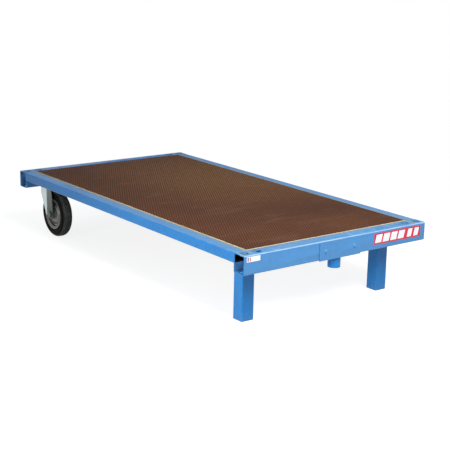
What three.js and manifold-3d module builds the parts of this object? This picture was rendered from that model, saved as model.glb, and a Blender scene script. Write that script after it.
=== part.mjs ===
// Towable platform cart: a welded steel frame with a plywood deck, two fixed castors under the rear
// end, two square legs under the front end, and a round tow socket between the legs.
// Millimetres, +Z up, +X towards the tow socket. The origin is on the floor, under the middle of the
// part's own box, so the frame sits a little behind it to make room for the coupling bolts in front.
import * as THREE from 'three';
import { mergeVertices } from 'three/addons/utils/BufferGeometryUtils.js';
import Module from 'manifold-3d';

const wasm = await Module();
wasm.setup();

// ---- Driving dimensions ----------------------------------------------------------------------

// Overall frame
const FRAME_LENGTH = 2000; // over the webs of the two end channels
const FRAME_WIDTH = 1050; // over the outer faces of the side tubes
const FRAME_TOP = 340; // floor to the top of the frame

// End channels: pressed sheet, web outwards, lower flange turned up into a lip. The lip ends under
// the side tubes, and stands taller between them, where it carries the end of the deck.
const CHANNEL_HEIGHT = 85;
const CHANNEL_DEPTH = 70; // web face to the back of the lip
const CHANNEL_SHEET = 4;
const CHANNEL_BEND = 4; // radius of each bend, at the middle of the sheet
const CHANNEL_LIP_DROP = 10; // the taller part of the lip ends this far below the frame's top

// Side tubes, laid flat
const SIDE_TUBE = { width: 60, height: 46, wall: 3, corner: 5 };

// Cross tubes, laid flat between the side tubes
const CROSS_TUBE = { width: 60, height: 36, wall: 3, corner: 5 };
const MIDDLE_TUBES = 3; // evenly spaced between the castor beam and the leg beam
const LEG_BEAM_WIDTH = 100; // a wider cross tube, flush with the front faces of the legs

// Stake holes, through both flanges at each end of each end channel
const STAKE_HOLE_RADIUS = 18;
const STAKE_FROM_WEB = 36; // hole centre behind the web's outer face
const STAKE_FROM_END = [28, 96]; // hole centres, in from the end of the channel

// Deck panel, laid in the frame on the cross tubes
const DECK_THICKNESS = 12;
const DECK_GAP = 2; // all round, to the side tubes and the end channels

// Legs
const LEG_TUBE = { width: 65, height: 65, wall: 3, corner: 6 };
const LEG_FROM_FRONT = 165; // leg centre behind the front web
const LEG_FROM_SIDE = 130; // leg centre in from the side of the frame
const FOOT_THICKNESS = 5;
const GUSSET = { depth: 48, nose: 10, sheet: 5 }; // three-cornered web behind each leg

// Tow coupling
const COUPLING_PLATE = { width: 240, height: 81, thickness: 4, drop: 2 }; // drop below the channel
const SOCKET = { radius: 28.5, wall: 4, drop: 52 }; // drop below the channel
const SOCKET_FROM_WEB = 35; // socket axis behind the web's outer face
const COUPLING_BOLT = { shank: 5, head: 11, rise: 6, spacing: 168, overhang: 4 };
const COUPLING_NUT = { across: 17, height: 8 };

// Castors
const WHEEL_RADIUS = 125;
const TYRE = { width: 60, shoulder: 22, seat: 72, bead: 86, beadY: 24, seatWidth: 38 };
const RIM = { sheet: 3, flange: 84, flangeY: 28, seatY: 22, wellY: 9, dishRadius: 58, hubY: 22 };
const HUB = { radius: 26, bore: 20, length: 70 };
const BUSH_OVERHANG = 2.7; // a sleeve bush stands this far out of each end of the hub
const AXLE = { radius: 10, head: 30, headHeight: 13, nut: 30, nutHeight: 10, overhang: 2 };
const FORK = { sheet: 5, bend: 7, front: 6, rear: 112, knee: 98, heel: 50, heelDrop: 8, boss: 28 };
const CASTOR_PLATE = { thickness: 6, edgeX: 15, edgeY: 12 }; // edges are outside the bolt centres
const CASTOR_BOLTS = { alongX: 106, shank: 5, across: 17, head: 6.4, overhang: 3 };
const CASTOR_NUT_HEIGHT = 8;
const CASTOR_PLATE_OFFSET = 44; // plate centre behind the axle
const MOUNT_PLATE = { margin: 2, thickness: 8 }; // margin round the castor plate

// Clearances
const ROUND_FIT = 0.3; // between a round piece and the hole that holds it
const BOLT_FIT = 0.5; // between a bolt and its hole
const HEXAGON_SPACE = 1.5; // between a castor bolt's hexagon and the fork or side tube beside it
const MOUNT_SPACE = 4; // between the rear channel's lip and a castor's mounting plate
const TYRE_FIT = 0.3; // between the tyre and the rim
const SIDE_PLAY = 0.3; // between an end of the bush and the fork arm beside it

// ---- Worked-out sizes --------------------------------------------------------------------------

const HALF_LENGTH = FRAME_LENGTH / 2;
const HALF_WIDTH = FRAME_WIDTH / 2;
const FRAME_UNDERSIDE = FRAME_TOP - SIDE_TUBE.height; // underside of the side and cross tubes
const CHANNEL_BOTTOM = FRAME_TOP - CHANNEL_HEIGHT;
const SIDE_TUBE_END = HALF_LENGTH - CHANNEL_DEPTH + CHANNEL_SHEET; // bears on the channel's lip
const SIDE_TUBE_INNER = HALF_WIDTH - SIDE_TUBE.width;
const CROSS_TUBE_TOP = FRAME_UNDERSIDE + CROSS_TUBE.height;
const LEG_X = HALF_LENGTH - LEG_FROM_FRONT;
const LEG_Y = HALF_WIDTH - LEG_FROM_SIDE;
const LEG_BEAM_X = LEG_X + LEG_TUBE.width / 2 - LEG_BEAM_WIDTH / 2;
const MOUNT_LENGTH = CASTOR_BOLTS.alongX + 2 * (CASTOR_PLATE.edgeX + MOUNT_PLATE.margin);
const MOUNT_X = -HALF_LENGTH + CHANNEL_DEPTH + MOUNT_SPACE + MOUNT_LENGTH / 2;
const AXLE_X = MOUNT_X + CASTOR_PLATE_OFFSET;
const MOUNT_UNDERSIDE = FRAME_UNDERSIDE - MOUNT_PLATE.thickness;
const CASTOR_PLATE_UNDERSIDE = MOUNT_UNDERSIDE - CASTOR_PLATE.thickness;
const FORK_INSIDE = HUB.length / 2 + BUSH_OVERHANG + SIDE_PLAY; // middle plane to an arm
const FORK_OUTSIDE = FORK_INSIDE + FORK.sheet;
const CASTOR_BOLT_Y = FORK_OUTSIDE + HEXAGON_SPACE + CASTOR_BOLTS.across / 2; // from the middle plane
const WHEEL_Y = SIDE_TUBE_INNER - HEXAGON_SPACE - CASTOR_BOLTS.across / 2 - CASTOR_BOLT_Y;
const FRONT_PROUD = COUPLING_PLATE.thickness + COUPLING_BOLT.rise; // beyond the front web
const SIDES = [['left', 1], ['right', -1]]; // seen by a person pulling the cart, looking ahead

// ---- Shapes ------------------------------------------------------------------------------------

const TURN = 2 * Math.PI;

// A rectangle with rounded corners, centred on the origin.
function roundedRectangle(width, height, radius, ShapeClass = THREE.Shape) {
  const x = width / 2;
  const y = height / 2;
  const outline = new ShapeClass();
  outline.moveTo(-x + radius, -y);
  outline.lineTo(x - radius, -y);
  outline.absarc(x - radius, -y + radius, radius, -TURN / 4, 0, false);
  outline.lineTo(x, y - radius);
  outline.absarc(x - radius, y - radius, radius, 0, TURN / 4, false);
  outline.lineTo(-x + radius, y);
  outline.absarc(-x + radius, y - radius, radius, TURN / 4, TURN / 2, false);
  outline.lineTo(-x, -y + radius);
  outline.absarc(-x + radius, -y + radius, radius, TURN / 2, 0.75 * TURN, false);
  return outline;
}

// The section of a hollow tube of rectangular outline.
function tubeSection({ width, height, wall, corner }) {
  const section = roundedRectangle(width, height, corner);
  const inside = roundedRectangle(width - 2 * wall, height - 2 * wall, corner - wall, THREE.Path);
  section.holes.push(inside);
  return section;
}

// A regular polygon with a corner on the first axis. A round bar or hole is one of many sides.
function polygonPoints(radius, sides) {
  const points = [];
  for (let i = 0; i < sides; i += 1) {
    const angle = (TURN * i) / sides;
    points.push(new THREE.Vector2(radius * Math.cos(angle), radius * Math.sin(angle)));
  }
  return points;
}

function hexagon(acrossFlats) {
  return new THREE.Shape(polygonPoints(acrossFlats / Math.sqrt(3), 6));
}

// The section of a bent sheet: straight legs through the points, joined by bends, at a thickness.
function bentSheetPoints(corners, bend, thickness, stepsPerBend = 4) {
  const middle = [];
  const push = (x, y, nx, ny) => middle.push({ x, y, nx, ny });
  const direction = (a, b) => {
    const length = Math.hypot(b[0] - a[0], b[1] - a[1]);
    return [(b[0] - a[0]) / length, (b[1] - a[1]) / length];
  };
  const last = corners.length - 1;
  const first = direction(corners[0], corners[1]);
  push(corners[0][0], corners[0][1], -first[1], first[0]);
  for (let i = 1; i < last; i += 1) {
    const into = direction(corners[i - 1], corners[i]);
    const away = direction(corners[i], corners[i + 1]);
    const across = into[0] * away[1] - into[1] * away[0];
    const along = into[0] * away[0] + into[1] * away[1];
    const turn = Math.atan2(across, along);
    const setback = bend * Math.tan(Math.abs(turn) / 2);
    const side = Math.sign(turn);
    const centre = [
      corners[i][0] - into[0] * setback - into[1] * bend * side,
      corners[i][1] - into[1] * setback + into[0] * bend * side,
    ];
    for (let step = 0; step <= stepsPerBend; step += 1) {
      const angle = (turn * step) / stepsPerBend;
      const tangent = [
        into[0] * Math.cos(angle) - into[1] * Math.sin(angle),
        into[0] * Math.sin(angle) + into[1] * Math.cos(angle),
      ];
      const normal = [-tangent[1], tangent[0]];
      push(centre[0] - normal[0] * bend * side, centre[1] - normal[1] * bend * side, normal[0], normal[1]);
    }
  }
  const end = direction(corners[last - 1], corners[last]);
  push(corners[last][0], corners[last][1], -end[1], end[0]);
  const half = thickness / 2;
  const right = middle.map((p) => new THREE.Vector2(p.x - p.nx * half, p.y - p.ny * half));
  const left = middle.map((p) => new THREE.Vector2(p.x + p.nx * half, p.y + p.ny * half));
  return [...right, ...left.reverse()];
}

// ---- Solids ------------------------------------------------------------------------------------

// Prisms: the section lies in the plane across the named axis, and runs between two places on it.
function prism(section, length, basis, origin, curveSegments) {
  const geometry = new THREE.ExtrudeGeometry(section, { depth: length, bevelEnabled: false, curveSegments });
  const matrix = new THREE.Matrix4().makeBasis(...basis).setPosition(origin);
  return geometry.applyMatrix4(matrix);
}

const X = new THREE.Vector3(1, 0, 0);
const Y = new THREE.Vector3(0, 1, 0);
const Z = new THREE.Vector3(0, 0, 1);

// Section across X: first axis Y, second axis Z.
function alongX(section, from, to, curveSegments = 4) {
  return prism(section, to - from, [Y, Z, X], new THREE.Vector3(from, 0, 0), curveSegments);
}

// Section across Y: first axis X, second axis Z.
function alongY(section, from, to, curveSegments = 4) {
  return prism(section, to - from, [X, Z, Y.clone().negate()], new THREE.Vector3(0, to, 0), curveSegments);
}

// Section across Z: first axis X, second axis Y.
function alongZ(section, from, to, curveSegments = 4) {
  return prism(section, to - from, [X, Y, Z], new THREE.Vector3(0, 0, from), curveSegments);
}

// A solid of revolution about Y, from closed profile points of radius and place along Y.
function turnedAboutY(profile, segments) {
  const closed = [...profile, profile[0]];
  return new THREE.LatheGeometry(closed, segments);
}

// A plain ring about Y between two places on it.
function ringAboutY(inner, outer, from, to, segments) {
  const section = new THREE.Shape(polygonPoints(outer, segments));
  section.holes.push(new THREE.Path(polygonPoints(inner, segments)));
  return alongY(section, from, to);
}

// The manifold solid of a closed geometry, for cutting and joining.
function toSolid(geometry) {
  const bare = geometry.clone();
  bare.deleteAttribute('normal');
  bare.deleteAttribute('uv');
  const merged = mergeVertices(bare, 1e-4);
  const vertProperties = new Float32Array(merged.attributes.position.array);
  const triVerts = new Uint32Array(merged.index.array);
  return new wasm.Manifold(new wasm.Mesh({ numProp: 3, vertProperties, triVerts }));
}

function toGeometry(solid) {
  const { vertProperties, triVerts } = solid.getMesh();
  const geometry = new THREE.BufferGeometry();
  geometry.setAttribute('position', new THREE.BufferAttribute(new Float32Array(vertProperties), 3));
  geometry.setIndex(new THREE.BufferAttribute(new Uint32Array(triVerts), 1));
  geometry.computeVertexNormals();
  return geometry;
}

function cut(geometry, cutters) {
  let solid = toSolid(geometry);
  for (const cutter of cutters) {
    solid = solid.subtract(toSolid(cutter));
  }
  return toGeometry(solid);
}

// A round cutter along Z or along X, at a place in the plane across it.
function roundCutterZ(x, y, radius, from, to, sides) {
  const section = new THREE.Shape(polygonPoints(radius, sides));
  return alongZ(section, from, to).translate(x, y, 0);
}

function roundCutterX(y, z, radius, from, to, sides) {
  const section = new THREE.Shape(polygonPoints(radius, sides));
  return alongX(section, from, to).translate(0, y, z);
}

// ---- Finishes ----------------------------------------------------------------------------------

const FINISHES = {
  paint: { color: '#4f93cf', roughness: 0.42, metalness: 0 },
  zinc: { color: '#c3c8c6', roughness: 0.35, metalness: 1 },
  rimSteel: { color: '#7d7d78', roughness: 0.5, metalness: 0.8 },
  rubber: { color: '#28292b', roughness: 0.8, metalness: 0 },
  plywood: { color: '#5e4034', roughness: 0.6, metalness: 0 },
  bushBronze: { color: '#8a6a3c', roughness: 0.45, metalness: 1 },
};

function piece(name, geometry, finish, position = [0, 0, 0]) {
  const mesh = new THREE.Mesh(geometry, new THREE.MeshStandardMaterial(FINISHES[finish]));
  mesh.name = name;
  mesh.position.set(...position);
  return mesh;
}

// ---- Frame -------------------------------------------------------------------------------------

// A length of end channel at the front, with its lip up to a height.
function channelLength(lipTop, fromY, toY) {
  const half = CHANNEL_SHEET / 2;
  const web = HALF_LENGTH - half;
  const lip = HALF_LENGTH - CHANNEL_DEPTH + half;
  const section = new THREE.Shape(bentSheetPoints([
    [SIDE_TUBE_END, FRAME_TOP - half],
    [web, FRAME_TOP - half],
    [web, CHANNEL_BOTTOM + half],
    [lip, CHANNEL_BOTTOM + half],
    [lip, lipTop],
  ], CHANNEL_BEND, CHANNEL_SHEET));
  return alongY(section, Math.min(fromY, toY), Math.max(fromY, toY));
}

// Half of that channel, from its middle to one end, with any extra cutters.
function channelHalf(side, extraCutters = []) {
  const holes = STAKE_FROM_END.map((inset) => roundCutterZ(
    HALF_LENGTH - STAKE_FROM_WEB, side * (HALF_WIDTH - inset), STAKE_HOLE_RADIUS,
    CHANNEL_BOTTOM - 1, FRAME_TOP + 1, 24,
  ));
  const whole = toSolid(channelLength(FRAME_UNDERSIDE, 0, side * HALF_WIDTH));
  const tallLip = channelLength(FRAME_TOP - CHANNEL_LIP_DROP, 0, side * (SIDE_TUBE_INNER - DECK_GAP));
  return cut(toGeometry(whole.add(toSolid(tallLip))), [...holes, ...extraCutters]);
}

function couplingBoltCutter(side) {
  return roundCutterX(
    (side * COUPLING_BOLT.spacing) / 2, couplingHeight(), COUPLING_BOLT.shank + BOLT_FIT,
    HALF_LENGTH - CHANNEL_SHEET - 1, HALF_LENGTH + COUPLING_PLATE.thickness + 1, 16,
  );
}

function couplingHeight() {
  return CHANNEL_BOTTOM - COUPLING_PLATE.drop + COUPLING_PLATE.height / 2;
}

function socketCutter() {
  return roundCutterZ(
    HALF_LENGTH - SOCKET_FROM_WEB, 0, SOCKET.radius + ROUND_FIT,
    CHANNEL_BOTTOM - 1, CHANNEL_BOTTOM + CHANNEL_SHEET + 1, 32,
  );
}

function buildFrame() {
  const group = new THREE.Group();
  for (const [sideName, side] of SIDES) {
    const front = channelHalf(side, [couplingBoltCutter(side), socketCutter()]);
    group.add(piece(`front_channel_${sideName}`, front, 'paint'));
    const rear = channelHalf(-side);
    group.add(piece(`rear_channel_${sideName}`, rear.rotateZ(Math.PI), 'paint'));
  }

  const sideTube = alongX(tubeSection(SIDE_TUBE), -SIDE_TUBE_END, SIDE_TUBE_END, 3);
  const sideY = HALF_WIDTH - SIDE_TUBE.width / 2;
  const sideZ = FRAME_TOP - SIDE_TUBE.height / 2;
  for (const [sideName, side] of SIDES) {
    group.add(piece(`${sideName}_side_tube`, sideTube.clone(), 'paint', [0, side * sideY, sideZ]));
  }

  const crossTube = alongY(tubeSection(CROSS_TUBE), -SIDE_TUBE_INNER, SIDE_TUBE_INNER, 3);
  const crossZ = FRAME_UNDERSIDE + CROSS_TUBE.height / 2;
  group.add(piece('castor_beam', crossTube, 'paint', [MOUNT_X, 0, crossZ]));
  const legBeamSection = tubeSection({ ...CROSS_TUBE, width: LEG_BEAM_WIDTH });
  const legBeam = alongY(legBeamSection, -SIDE_TUBE_INNER, SIDE_TUBE_INNER, 3);
  group.add(piece('leg_beam', legBeam, 'paint', [LEG_BEAM_X, 0, crossZ]));
  const pitch = (LEG_BEAM_X - MOUNT_X) / (MIDDLE_TUBES + 1);
  for (let i = 1; i <= MIDDLE_TUBES; i += 1) {
    group.add(piece(`cross_tube_${i}`, crossTube.clone(), 'paint', [MOUNT_X + pitch * i, 0, crossZ]));
  }
  return group;
}

function buildDeck() {
  const length = 2 * (SIDE_TUBE_END - DECK_GAP);
  const width = 2 * (SIDE_TUBE_INNER - DECK_GAP);
  const panel = new THREE.BoxGeometry(length, width, DECK_THICKNESS);
  return piece('deck_panel', panel, 'plywood', [0, 0, CROSS_TUBE_TOP + DECK_THICKNESS / 2]);
}

function buildLeg(sideName, side) {
  const group = new THREE.Group();
  group.position.set(LEG_X, side * LEG_Y, 0);
  const tube = alongZ(tubeSection(LEG_TUBE), FOOT_THICKNESS, FRAME_UNDERSIDE, 3);
  group.add(piece(`${sideName}_leg`, tube, 'paint'));
  const sole = roundedRectangle(LEG_TUBE.width, LEG_TUBE.height, LEG_TUBE.corner);
  group.add(piece(`${sideName}_foot_plate`, alongZ(sole, 0, FOOT_THICKNESS, 3), 'paint'));
  const legBack = -LEG_TUBE.width / 2;
  const beamBack = LEG_TUBE.width / 2 - LEG_BEAM_WIDTH;
  const web = new THREE.Shape();
  web.moveTo(legBack, FRAME_UNDERSIDE);
  web.lineTo(legBack, FRAME_UNDERSIDE - GUSSET.depth);
  web.lineTo(legBack - GUSSET.nose, FRAME_UNDERSIDE - GUSSET.depth);
  web.lineTo(beamBack, FRAME_UNDERSIDE - GUSSET.nose);
  web.lineTo(beamBack, FRAME_UNDERSIDE);
  const gusset = alongY(web, -GUSSET.sheet / 2, GUSSET.sheet / 2);
  group.add(piece(`${sideName}_leg_gusset`, gusset, 'paint'));
  return group;
}

// ---- Tow coupling ------------------------------------------------------------------------------

// A cup-headed bolt along X, its head seated at x = 0 and its shank running backwards.
function cupBolt({ shank, head, rise }, length) {
  const profile = [[0, -length], [shank, -length], [shank, 0], [head, 0]];
  const steps = 5;
  for (let i = 1; i <= steps; i += 1) {
    const angle = (TURN / 4) * (i / steps);
    profile.push([head * Math.cos(angle), rise * Math.sin(angle)]);
  }
  profile[profile.length - 1][0] = 0;
  const points = profile.map(([radius, along]) => new THREE.Vector2(radius, along));
  return new THREE.LatheGeometry(points, 16).rotateZ(-TURN / 4);
}

function nutSection(acrossFlats, bore, sides) {
  const section = hexagon(acrossFlats);
  section.holes.push(new THREE.Path(polygonPoints(bore, sides)));
  return section;
}

function buildCoupling() {
  const group = new THREE.Group();
  group.position.set(HALF_LENGTH, 0, couplingHeight());

  const section = new THREE.Shape();
  const halfWidth = COUPLING_PLATE.width / 2;
  const halfHeight = COUPLING_PLATE.height / 2;
  section.moveTo(-halfWidth, -halfHeight);
  section.lineTo(halfWidth, -halfHeight);
  section.lineTo(halfWidth, halfHeight);
  section.lineTo(-halfWidth, halfHeight);
  const boltY = COUPLING_BOLT.spacing / 2;
  for (const y of [-boltY, boltY]) {
    const hole = polygonPoints(COUPLING_BOLT.shank + BOLT_FIT, 16);
    hole.forEach((point) => point.setX(point.x + y));
    section.holes.push(new THREE.Path(hole));
  }
  group.add(piece('coupling_plate', alongX(section, 0, COUPLING_PLATE.thickness), 'paint'));

  const grip = COUPLING_PLATE.thickness + CHANNEL_SHEET;
  const shankLength = grip + COUPLING_NUT.height + COUPLING_BOLT.overhang;
  const nut = alongX(
    nutSection(COUPLING_NUT.across, COUPLING_BOLT.shank + ROUND_FIT, 16),
    -CHANNEL_SHEET - COUPLING_NUT.height, -CHANNEL_SHEET,
  );
  for (const [sideName, side] of SIDES) {
    const bolt = cupBolt(COUPLING_BOLT, shankLength);
    const y = side * boltY;
    group.add(piece(`coupling_bolt_${sideName}`, bolt, 'paint', [COUPLING_PLATE.thickness, y, 0]));
    group.add(piece(`coupling_nut_${sideName}`, nut.clone(), 'zinc', [0, y, 0]));
  }

  const ring = new THREE.Shape(polygonPoints(SOCKET.radius, 32));
  ring.holes.push(new THREE.Path(polygonPoints(SOCKET.radius - SOCKET.wall, 32)));
  const socketTop = FRAME_TOP - CHANNEL_SHEET - couplingHeight();
  const socketFoot = CHANNEL_BOTTOM - SOCKET.drop - couplingHeight();
  group.add(piece('tow_socket', alongZ(ring, socketFoot, socketTop), 'paint', [-SOCKET_FROM_WEB, 0, 0]));
  return group;
}

// ---- Castors -----------------------------------------------------------------------------------

const ROUND = 48; // segments round a wheel

function tyreGeometry() {
  const { width, shoulder, seat, bead, beadY, seatWidth } = TYRE;
  const side = width / 2;
  const half = [];
  half.push([seat + TYRE_FIT, seatWidth / 2]);
  half.push([bead, beadY]);
  half.push([bead + 6, side]);
  const steps = 4;
  for (let i = 0; i <= steps; i += 1) {
    const angle = (TURN / 4) * (i / steps);
    const radius = WHEEL_RADIUS - shoulder + shoulder * Math.sin(angle);
    half.push([radius, side - shoulder + shoulder * Math.cos(angle)]);
  }
  const mirrored = half.map(([radius, along]) => [radius, -along]).reverse();
  const points = [...half, ...mirrored].map(([radius, along]) => new THREE.Vector2(radius, -along));
  return turnedAboutY(points, ROUND);
}

// One half of the rim: a disc from the hub, a well, the tyre seat and a turned-up flange.
function rimHalfGeometry() {
  const { sheet, flange, flangeY, seatY, wellY, dishRadius, hubY } = RIM;
  const seatMiddle = TYRE.seat - sheet / 2;
  const points = bentSheetPoints([
    [HUB.radius + ROUND_FIT, hubY],
    [dishRadius / 2 + HUB.radius / 2, hubY],
    [dishRadius, wellY],
    [seatMiddle, wellY],
    [seatMiddle, seatY],
    [flange, flangeY],
  ], 3, sheet, 1);
  return turnedAboutY(points, ROUND);
}

// The bracket: a pressed saddle under the castor plate with an arm on each side of the wheel.
function forkGeometry() {
  const top = CASTOR_PLATE_UNDERSIDE - WHEEL_RADIUS;
  const half = FORK.sheet / 2;
  const arm = FORK_INSIDE + half;
  const floor = -FORK.boss - 1;
  const saddle = new THREE.Shape(bentSheetPoints([
    [-arm, floor], [-arm, top - half], [arm, top - half], [arm, floor],
  ], FORK.bend, FORK.sheet));
  const saddleSolid = toSolid(alongX(saddle, -FORK.rear, FORK.boss + 1));

  // both slanted edges of an arm touch the round boss
  const frontMeet = Math.atan2(top, FORK.front) - Math.acos(FORK.boss / Math.hypot(top, FORK.front));
  const heelAngle = Math.atan2(-FORK.heelDrop, -FORK.heel);
  const heelReach = Math.acos(FORK.boss / Math.hypot(FORK.heel, FORK.heelDrop));
  const outline = new THREE.Shape();
  outline.moveTo(-FORK.rear, top);
  outline.lineTo(-FORK.rear, FORK.knee);
  outline.lineTo(-FORK.heel, -FORK.heelDrop);
  outline.absarc(0, 0, FORK.boss, heelAngle + heelReach, frontMeet, false);
  outline.lineTo(FORK.front, top);
  const outlineSolid = toSolid(alongY(outline, -FORK_OUTSIDE, FORK_OUTSIDE, 12));

  const bore = new THREE.Shape(polygonPoints(AXLE.radius + ROUND_FIT, 24));
  const boreSolid = toSolid(alongY(bore, -FORK_OUTSIDE - 1, FORK_OUTSIDE + 1));
  return toGeometry(saddleSolid.intersect(outlineSolid).subtract(boreSolid));
}

// The rectangular bolt pattern, as places in plan from the castor plate's middle.
function castorBoltPlaces() {
  const x = CASTOR_BOLTS.alongX / 2;
  const y = CASTOR_BOLT_Y;
  return [['rear_left', -x, y], ['rear_right', -x, -y], ['front_left', x, y], ['front_right', x, -y]];
}

function boltedPlate(length, width, thickness) {
  const section = new THREE.Shape();
  section.moveTo(-length / 2, -width / 2);
  section.lineTo(length / 2, -width / 2);
  section.lineTo(length / 2, width / 2);
  section.lineTo(-length / 2, width / 2);
  castorBoltPlaces().forEach(([, x, y]) => {
    const hole = polygonPoints(CASTOR_BOLTS.shank + BOLT_FIT, 12);
    hole.forEach((point) => point.add(new THREE.Vector2(x, y)));
    section.holes.push(new THREE.Path(hole));
  });
  return alongZ(section, 0, thickness);
}

// A hexagon-headed bolt along Z: head below z = 0, shank upwards.
function hexBolt({ shank, across, head }, shankLength) {
  const headSolid = toSolid(alongZ(hexagon(across), -head, 0));
  const shankSection = new THREE.Shape(polygonPoints(shank, 12));
  const shankSolid = toSolid(alongZ(shankSection, -head / 2, shankLength));
  return toGeometry(headSolid.add(shankSolid));
}

// The axle bolt along Y: head on the inner side of the castor, nut on the outer side.
function axleBolt(outward) {
  const far = FORK_OUTSIDE + AXLE.nutHeight + AXLE.overhang;
  const head = alongY(hexagon(AXLE.head), FORK_OUTSIDE, FORK_OUTSIDE + AXLE.headHeight);
  const shankSection = new THREE.Shape(polygonPoints(AXLE.radius, 24));
  const shank = alongY(shankSection, -far, FORK_OUTSIDE + AXLE.headHeight / 2);
  const geometry = toGeometry(toSolid(head).add(toSolid(shank)));
  return outward < 0 ? geometry : geometry.rotateZ(Math.PI);
}

function buildCastor(sideName, side) {
  const group = new THREE.Group();
  group.position.set(AXLE_X, side * WHEEL_Y, WHEEL_RADIUS);
  const add = (name, geometry, finish, position) => {
    group.add(piece(`${sideName}_${name}`, geometry, finish, position));
  };

  const plateX = -CASTOR_PLATE_OFFSET;
  const plateZ = CASTOR_PLATE_UNDERSIDE - WHEEL_RADIUS;
  const { thickness, edgeX, edgeY } = CASTOR_PLATE;
  const length = CASTOR_BOLTS.alongX + 2 * edgeX;
  const width = 2 * (CASTOR_BOLT_Y + edgeY);
  const { margin } = MOUNT_PLATE;
  const mount = boltedPlate(length + 2 * margin, width + 2 * margin, MOUNT_PLATE.thickness);
  add('castor_mount_plate', mount, 'paint', [plateX, 0, plateZ + thickness]);
  add('castor_plate', boltedPlate(length, width, thickness), 'zinc', [plateX, 0, plateZ]);
  add('castor_fork', forkGeometry(), 'zinc');
  const grip = thickness + MOUNT_PLATE.thickness;
  const shankLength = grip + CASTOR_NUT_HEIGHT + CASTOR_BOLTS.overhang;
  const boltNut = nutSection(CASTOR_BOLTS.across, CASTOR_BOLTS.shank + ROUND_FIT, 12);
  castorBoltPlaces().forEach(([place, x, y]) => {
    const at = [plateX + x, y, plateZ];
    add(`castor_bolt_${place}`, hexBolt(CASTOR_BOLTS, shankLength), 'zinc', at);
    add(`castor_nut_${place}`, alongZ(boltNut, grip, grip + CASTOR_NUT_HEIGHT), 'zinc', at);
  });

  add('axle_bolt', axleBolt(side), 'zinc');
  const nut = nutSection(AXLE.nut, AXLE.radius + ROUND_FIT, 24);
  const nutFrom = side < 0 ? -FORK_OUTSIDE - AXLE.nutHeight : FORK_OUTSIDE;
  add('axle_nut', alongY(nut, nutFrom, nutFrom + AXLE.nutHeight), 'zinc');
  for (const [place, direction] of [['outer', side], ['inner', -side]]) {
    const rim = rimHalfGeometry();
    add(`rim_half_${place}`, direction < 0 ? rim.rotateZ(Math.PI) : rim, 'rimSteel');
  }
  const hubEnd = HUB.length / 2;
  const bushEnd = hubEnd + BUSH_OVERHANG;
  add('wheel_hub', ringAboutY(HUB.bore, HUB.radius, -hubEnd, hubEnd, 24), 'rimSteel');
  const bush = ringAboutY(AXLE.radius + ROUND_FIT, HUB.bore - ROUND_FIT, -bushEnd, bushEnd, 24);
  add('wheel_bush', bush, 'bushBronze');
  add('tyre', tyreGeometry(), 'rubber');
  return group;
}

// ---- Whole part --------------------------------------------------------------------------------

const cart = new THREE.Group();
cart.position.x = -FRONT_PROUD / 2;
cart.add(buildFrame());
cart.add(buildDeck());
cart.add(buildCoupling());
for (const [sideName, side] of SIDES) {
  cart.add(buildLeg(sideName, side));
  cart.add(buildCastor(sideName, side));
}

export default cart;
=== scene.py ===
# %% [markdown]
# # A towable platform cart
# The cart is a flat deck of plywood in a welded blue steel frame. It rolls on two fixed castors at
# the back and stands on two square legs at the front, where a tow bar lifts it by a round socket.
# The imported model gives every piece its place. This notebook builds the same pieces again with
# their small shapes, such as rounded arrises, weld beads, threads and pressed ribs, and gives each
# one the finish that it has on a real cart.

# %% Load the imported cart
import math

import bmesh
import bpy
from mathutils import Matrix, Vector


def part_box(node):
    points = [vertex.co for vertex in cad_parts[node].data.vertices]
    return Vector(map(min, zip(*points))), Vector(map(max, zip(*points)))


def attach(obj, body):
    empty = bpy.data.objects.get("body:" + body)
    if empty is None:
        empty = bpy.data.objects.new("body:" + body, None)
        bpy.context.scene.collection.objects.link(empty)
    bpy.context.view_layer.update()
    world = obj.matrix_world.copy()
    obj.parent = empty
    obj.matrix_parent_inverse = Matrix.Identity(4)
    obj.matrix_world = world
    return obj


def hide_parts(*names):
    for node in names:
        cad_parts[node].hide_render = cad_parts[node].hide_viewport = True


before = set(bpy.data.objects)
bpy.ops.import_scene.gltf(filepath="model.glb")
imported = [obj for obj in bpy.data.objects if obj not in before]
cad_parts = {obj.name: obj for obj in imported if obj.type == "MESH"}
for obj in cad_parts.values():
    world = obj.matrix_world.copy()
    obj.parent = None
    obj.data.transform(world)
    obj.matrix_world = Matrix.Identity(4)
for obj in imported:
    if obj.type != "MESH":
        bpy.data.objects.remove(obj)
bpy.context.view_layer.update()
MM = 0.001
SIDES = ("left", "right")

# %% [markdown]
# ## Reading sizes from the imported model
# Each node has a box, and most sizes follow from these boxes: a tube's box is its length, width and
# height. Sizes that a box can't tell, such as a wall or a bend, are named here in millimetres.

# %% Sizes that the boxes don't show
SHEET = 4 * MM              # wall of the pressed end channels
TUBE_WALL = 3 * MM
TUBE_CORNER = 5 * MM        # outer corner radius of the drawn tubes
LEG_CORNER = 6 * MM
HOLE_PLAY = 0.4 * MM        # between a hole and what passes through it


def low(node):
    return Vector(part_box(node)[0])


def high(node):
    return Vector(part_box(node)[1])


def middle(node):
    return (low(node) + high(node)) / 2


def size(node):
    return high(node) - low(node)


RAIL_LOW, RAIL_HIGH = low("left_side_tube"), high("left_side_tube")
DECK_LOW, DECK_HIGH = low("deck_panel"), high("deck_panel")
print("frame top", round(RAIL_HIGH.z / MM), "mm, deck top", round(DECK_HIGH.z / MM), "mm")

# %% [markdown]
# ## Camera
# The camera stands beyond the tow end, to the right, a little above the deck, and looks down along
# the cart with a long lens. Azimuth turns it round the cart, elevation raises it, and a small roll
# tips the horizon as a hand-held camera does.

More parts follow.
